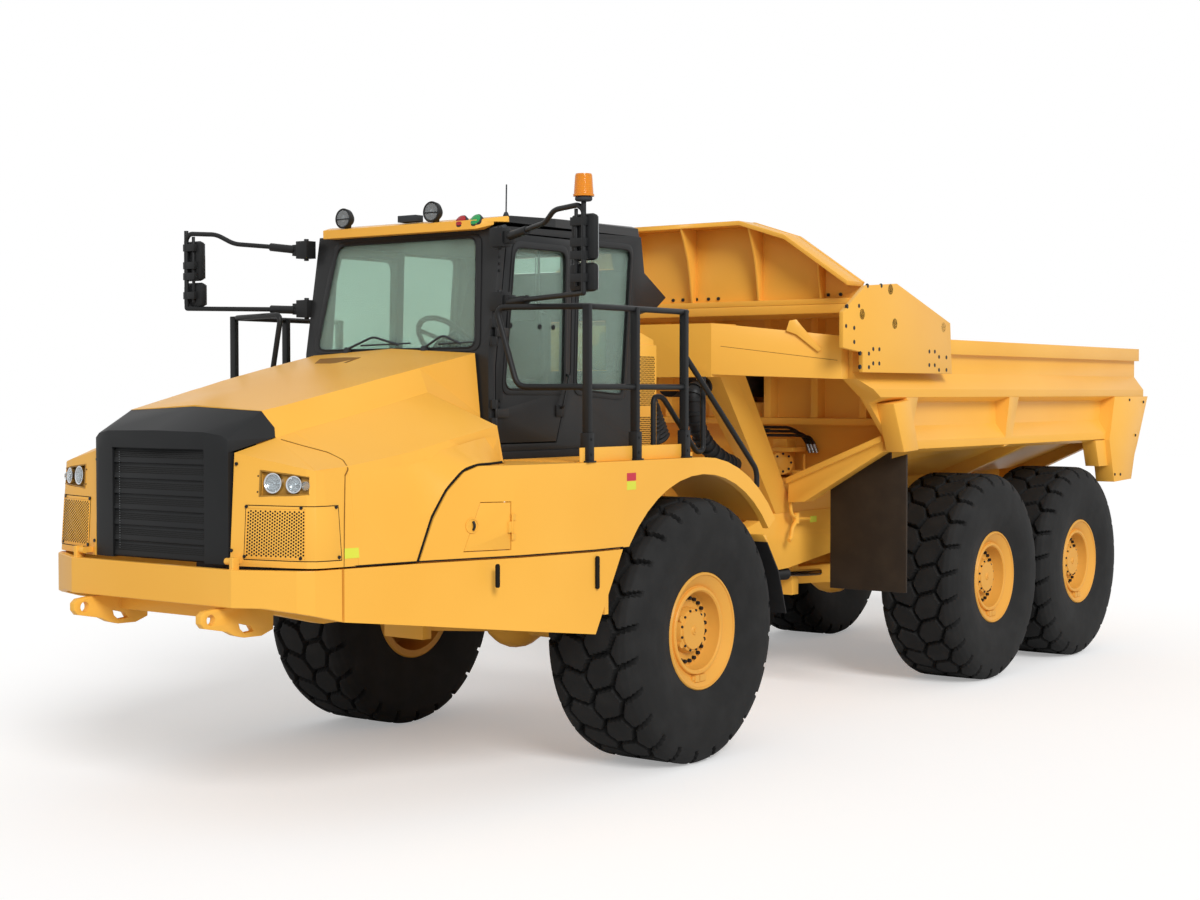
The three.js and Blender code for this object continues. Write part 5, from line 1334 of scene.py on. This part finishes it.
def add_service_latch():
    """The round cup on the service door, and the grip in it."""
    body = BODY_OF["service_door"]
    facing, centre = (0.943, -0.334, 0), Vector((1440, -2190, 1778))
    cup = Shape().turned([(-6, 0), (-6, 46), (4, 46), (4, 40), (0, 38), (0, 0)], centre, facing, 28)
    cup.piece("service_latch_cup", YELLOW, body, "yellow_paint")
    grip = Shape()
    grip.tube([centre + Vector((out, 4, up)) for out, up in ((6, 26), (16, 10), (16, -10), (6, -26))],
              8, 12, 10)
    grip.piece("service_latch", BLACK_ENAMEL, body, "black_paint")


GUARD = {"y": 2428, "foot": 3300.3, "top": 3996, "reach": 240, "plate": 36, "wall": 40, "gusset": 9}


def add_guard():
    """The rock guard over the ejector: its plate, folded hood, foot and deep gussets."""
    y, foot, top = GUARD["y"], GUARD["foot"], GUARD["top"]
    reach, plate, wall, gusset = GUARD["reach"], GUARD["plate"], GUARD["wall"], GUARD["gusset"]
    half = [(578, 4000), (1010, 3863), (1595, 3471), (1500, foot)]
    outline = half + [(-x, z) for x, z in half[::-1]]
    guard = Shape().prism("y", outline, y, y + wall)
    corners = [(578, top), (1010, 3860), (1590, 3470)]
    section = ((y - reach, 0), (y + 6, 0), (y + 6, plate), (y - reach, plate))
    for ends in zip(corners, corners[1:]):
        for sign in (1, -1):
            guard.loft([[(sign * x, depth, z - drop) for depth, drop in section] for x, z in ends])
    guard.box(-578, 578, y - reach, y + 6, top - plate, top)
    guard.box(-1500, 1500, y - 70, y + wall, foot, foot + 45)
    curve = [(y - 236, 3964), (y - 186, 3850), (y - 128, 3700), (y - 92, 3540), (y - 72, 3400),
             (y - 66, 3346)]
    for x in (-660, 0, 660):
        guard.prism("x", [(y + 2, 3964), *curve, (y + 2, 3346)], x - gusset, x + gusset)
    for x in (-1250, 1250):
        guard.prism("x", [(y + 2, 3660), (y - 120, 3640), (y - 70, 3346), (y + 2, 3346)],
                    x - gusset, x + gusset)
    piece = guard.piece("rock_guard", YELLOW, BODY_OF["ejector_guard"], SLOT_OF["ejector_guard"], 3)
    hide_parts("ejector_guard")


# ---------------------------------------------------------------- stage
CAMERA = {"place": (8.829, -13.229, 2.589), "down": 1.764, "turn": 36.543, "lens": 56.13}
FLOOR_HALF = 60                  # metres
FLOOR_GREY, FLOOR_GLOW = 0.86, 0.3
LIGHT_ON_TRUCK, LIGHT_SEEN = 0.5, 1.0


def add_camera():
    """The camera, ahead of the truck's front left corner and tipped down a little."""
    camera = stood("camera", bpy.data.cameras.new("camera"))
    camera.location = CAMERA["place"]
    camera.rotation_euler = (math.radians(90 - CAMERA["down"]), 0, math.radians(CAMERA["turn"]))
    camera.data.lens = CAMERA["lens"]
    bpy.context.scene.camera = camera


def add_floor():
    """A pale floor that keeps the truck's shadow and glows only to the camera."""
    size = FLOOR_HALF
    corners = [(-size, -size, 0), (size, -size, 0), (size, size, 0), (-size, size, 0)]
    mesh = bpy.data.meshes.new("floor")
    mesh.from_pydata(corners, [], [(0, 1, 2, 3)])
    floor = stood("floor", mesh)
    material = bpy.data.materials.new("studio_floor")
    material.use_nodes = True
    tree = material.node_tree
    tree.nodes.clear()
    seen = add_node(tree, "ShaderNodeLightPath").outputs["Is Camera Ray"]
    diffuse = add_node(tree, "ShaderNodeBsdfDiffuse", {"Color": (FLOOR_GREY, FLOOR_GREY, FLOOR_GREY, 1)})
    glow = add_node(tree, "ShaderNodeMath", {0: seen, 1: FLOOR_GLOW}, operation="MULTIPLY")
    lit = add_node(tree, "ShaderNodeEmission", {"Strength": glow.outputs["Value"]})
    both = add_node(tree, "ShaderNodeAddShader", {0: diffuse.outputs["BSDF"], 1: lit.outputs["Emission"]})
    add_node(tree, "ShaderNodeOutputMaterial", {"Surface": both.outputs["Shader"]})
    mesh.materials.append(material)


def add_light():
    """One wide soft sun, and a white world that is brighter to look at than it lights."""
    world = bpy.data.worlds.new("studio")
    world.use_nodes = True
    bpy.context.scene.world = world
    tree = world.node_tree
    tree.nodes.clear()
    ray = add_node(tree, "ShaderNodeLightPath").outputs
    seen = ray["Is Camera Ray"]
    for other in ("Is Glossy Ray", "Is Transmission Ray"):
        either = add_node(tree, "ShaderNodeMath", {0: seen, 1: ray[other]}, operation="MAXIMUM")
        seen = either.outputs["Value"]
    strength = add_node(tree, "ShaderNodeMapRange", {
        "Value": seen, "To Min": LIGHT_ON_TRUCK, "To Max": LIGHT_SEEN}).outputs["Result"]
    back = add_node(tree, "ShaderNodeBackground", {"Color": (1, 1, 1, 1), "Strength": strength})
    add_node(tree, "ShaderNodeOutputWorld", {"Surface": back.outputs["Background"]})
    sun = bpy.data.lights.new("key", "SUN")
    sun.energy = 2.1
    sun.angle = math.radians(22)
    key = stood("key", sun)
    key.rotation_euler = (math.radians(60), 0, math.radians(55))
    bpy.context.scene.view_settings.view_transform = "Standard"


add_camera()
add_light()
add_floor()
add_wheels()
add_plates()
add_lamps()
add_side_vents()
add_grille()
add_handrails()
add_deck_grip()
add_mirrors()
add_beacon()
add_cab_glass()
add_window_rings()
add_sliding_window()
add_door_fittings()
add_cab_sill()
add_cab_roof()
add_roof_fittings()
add_marker_lamps()
add_wipers()
add_seat()
add_carriage_fittings()
add_labels()
add_skirt_slots()
add_front_flaps()
add_cooler_vents()
add_portal_fittings()
add_tilt_hoses()
add_pump()
add_frame_pipes()
add_lower_link()
add_grab_rail()
add_hose_bundle()
add_duct()
add_guard_bolts()
add_box_brackets()
add_hood_flares()
add_hood_seams()
add_air_slot()
add_fender_seams()
add_service_latch()
add_guard()
add_tail_lamps()
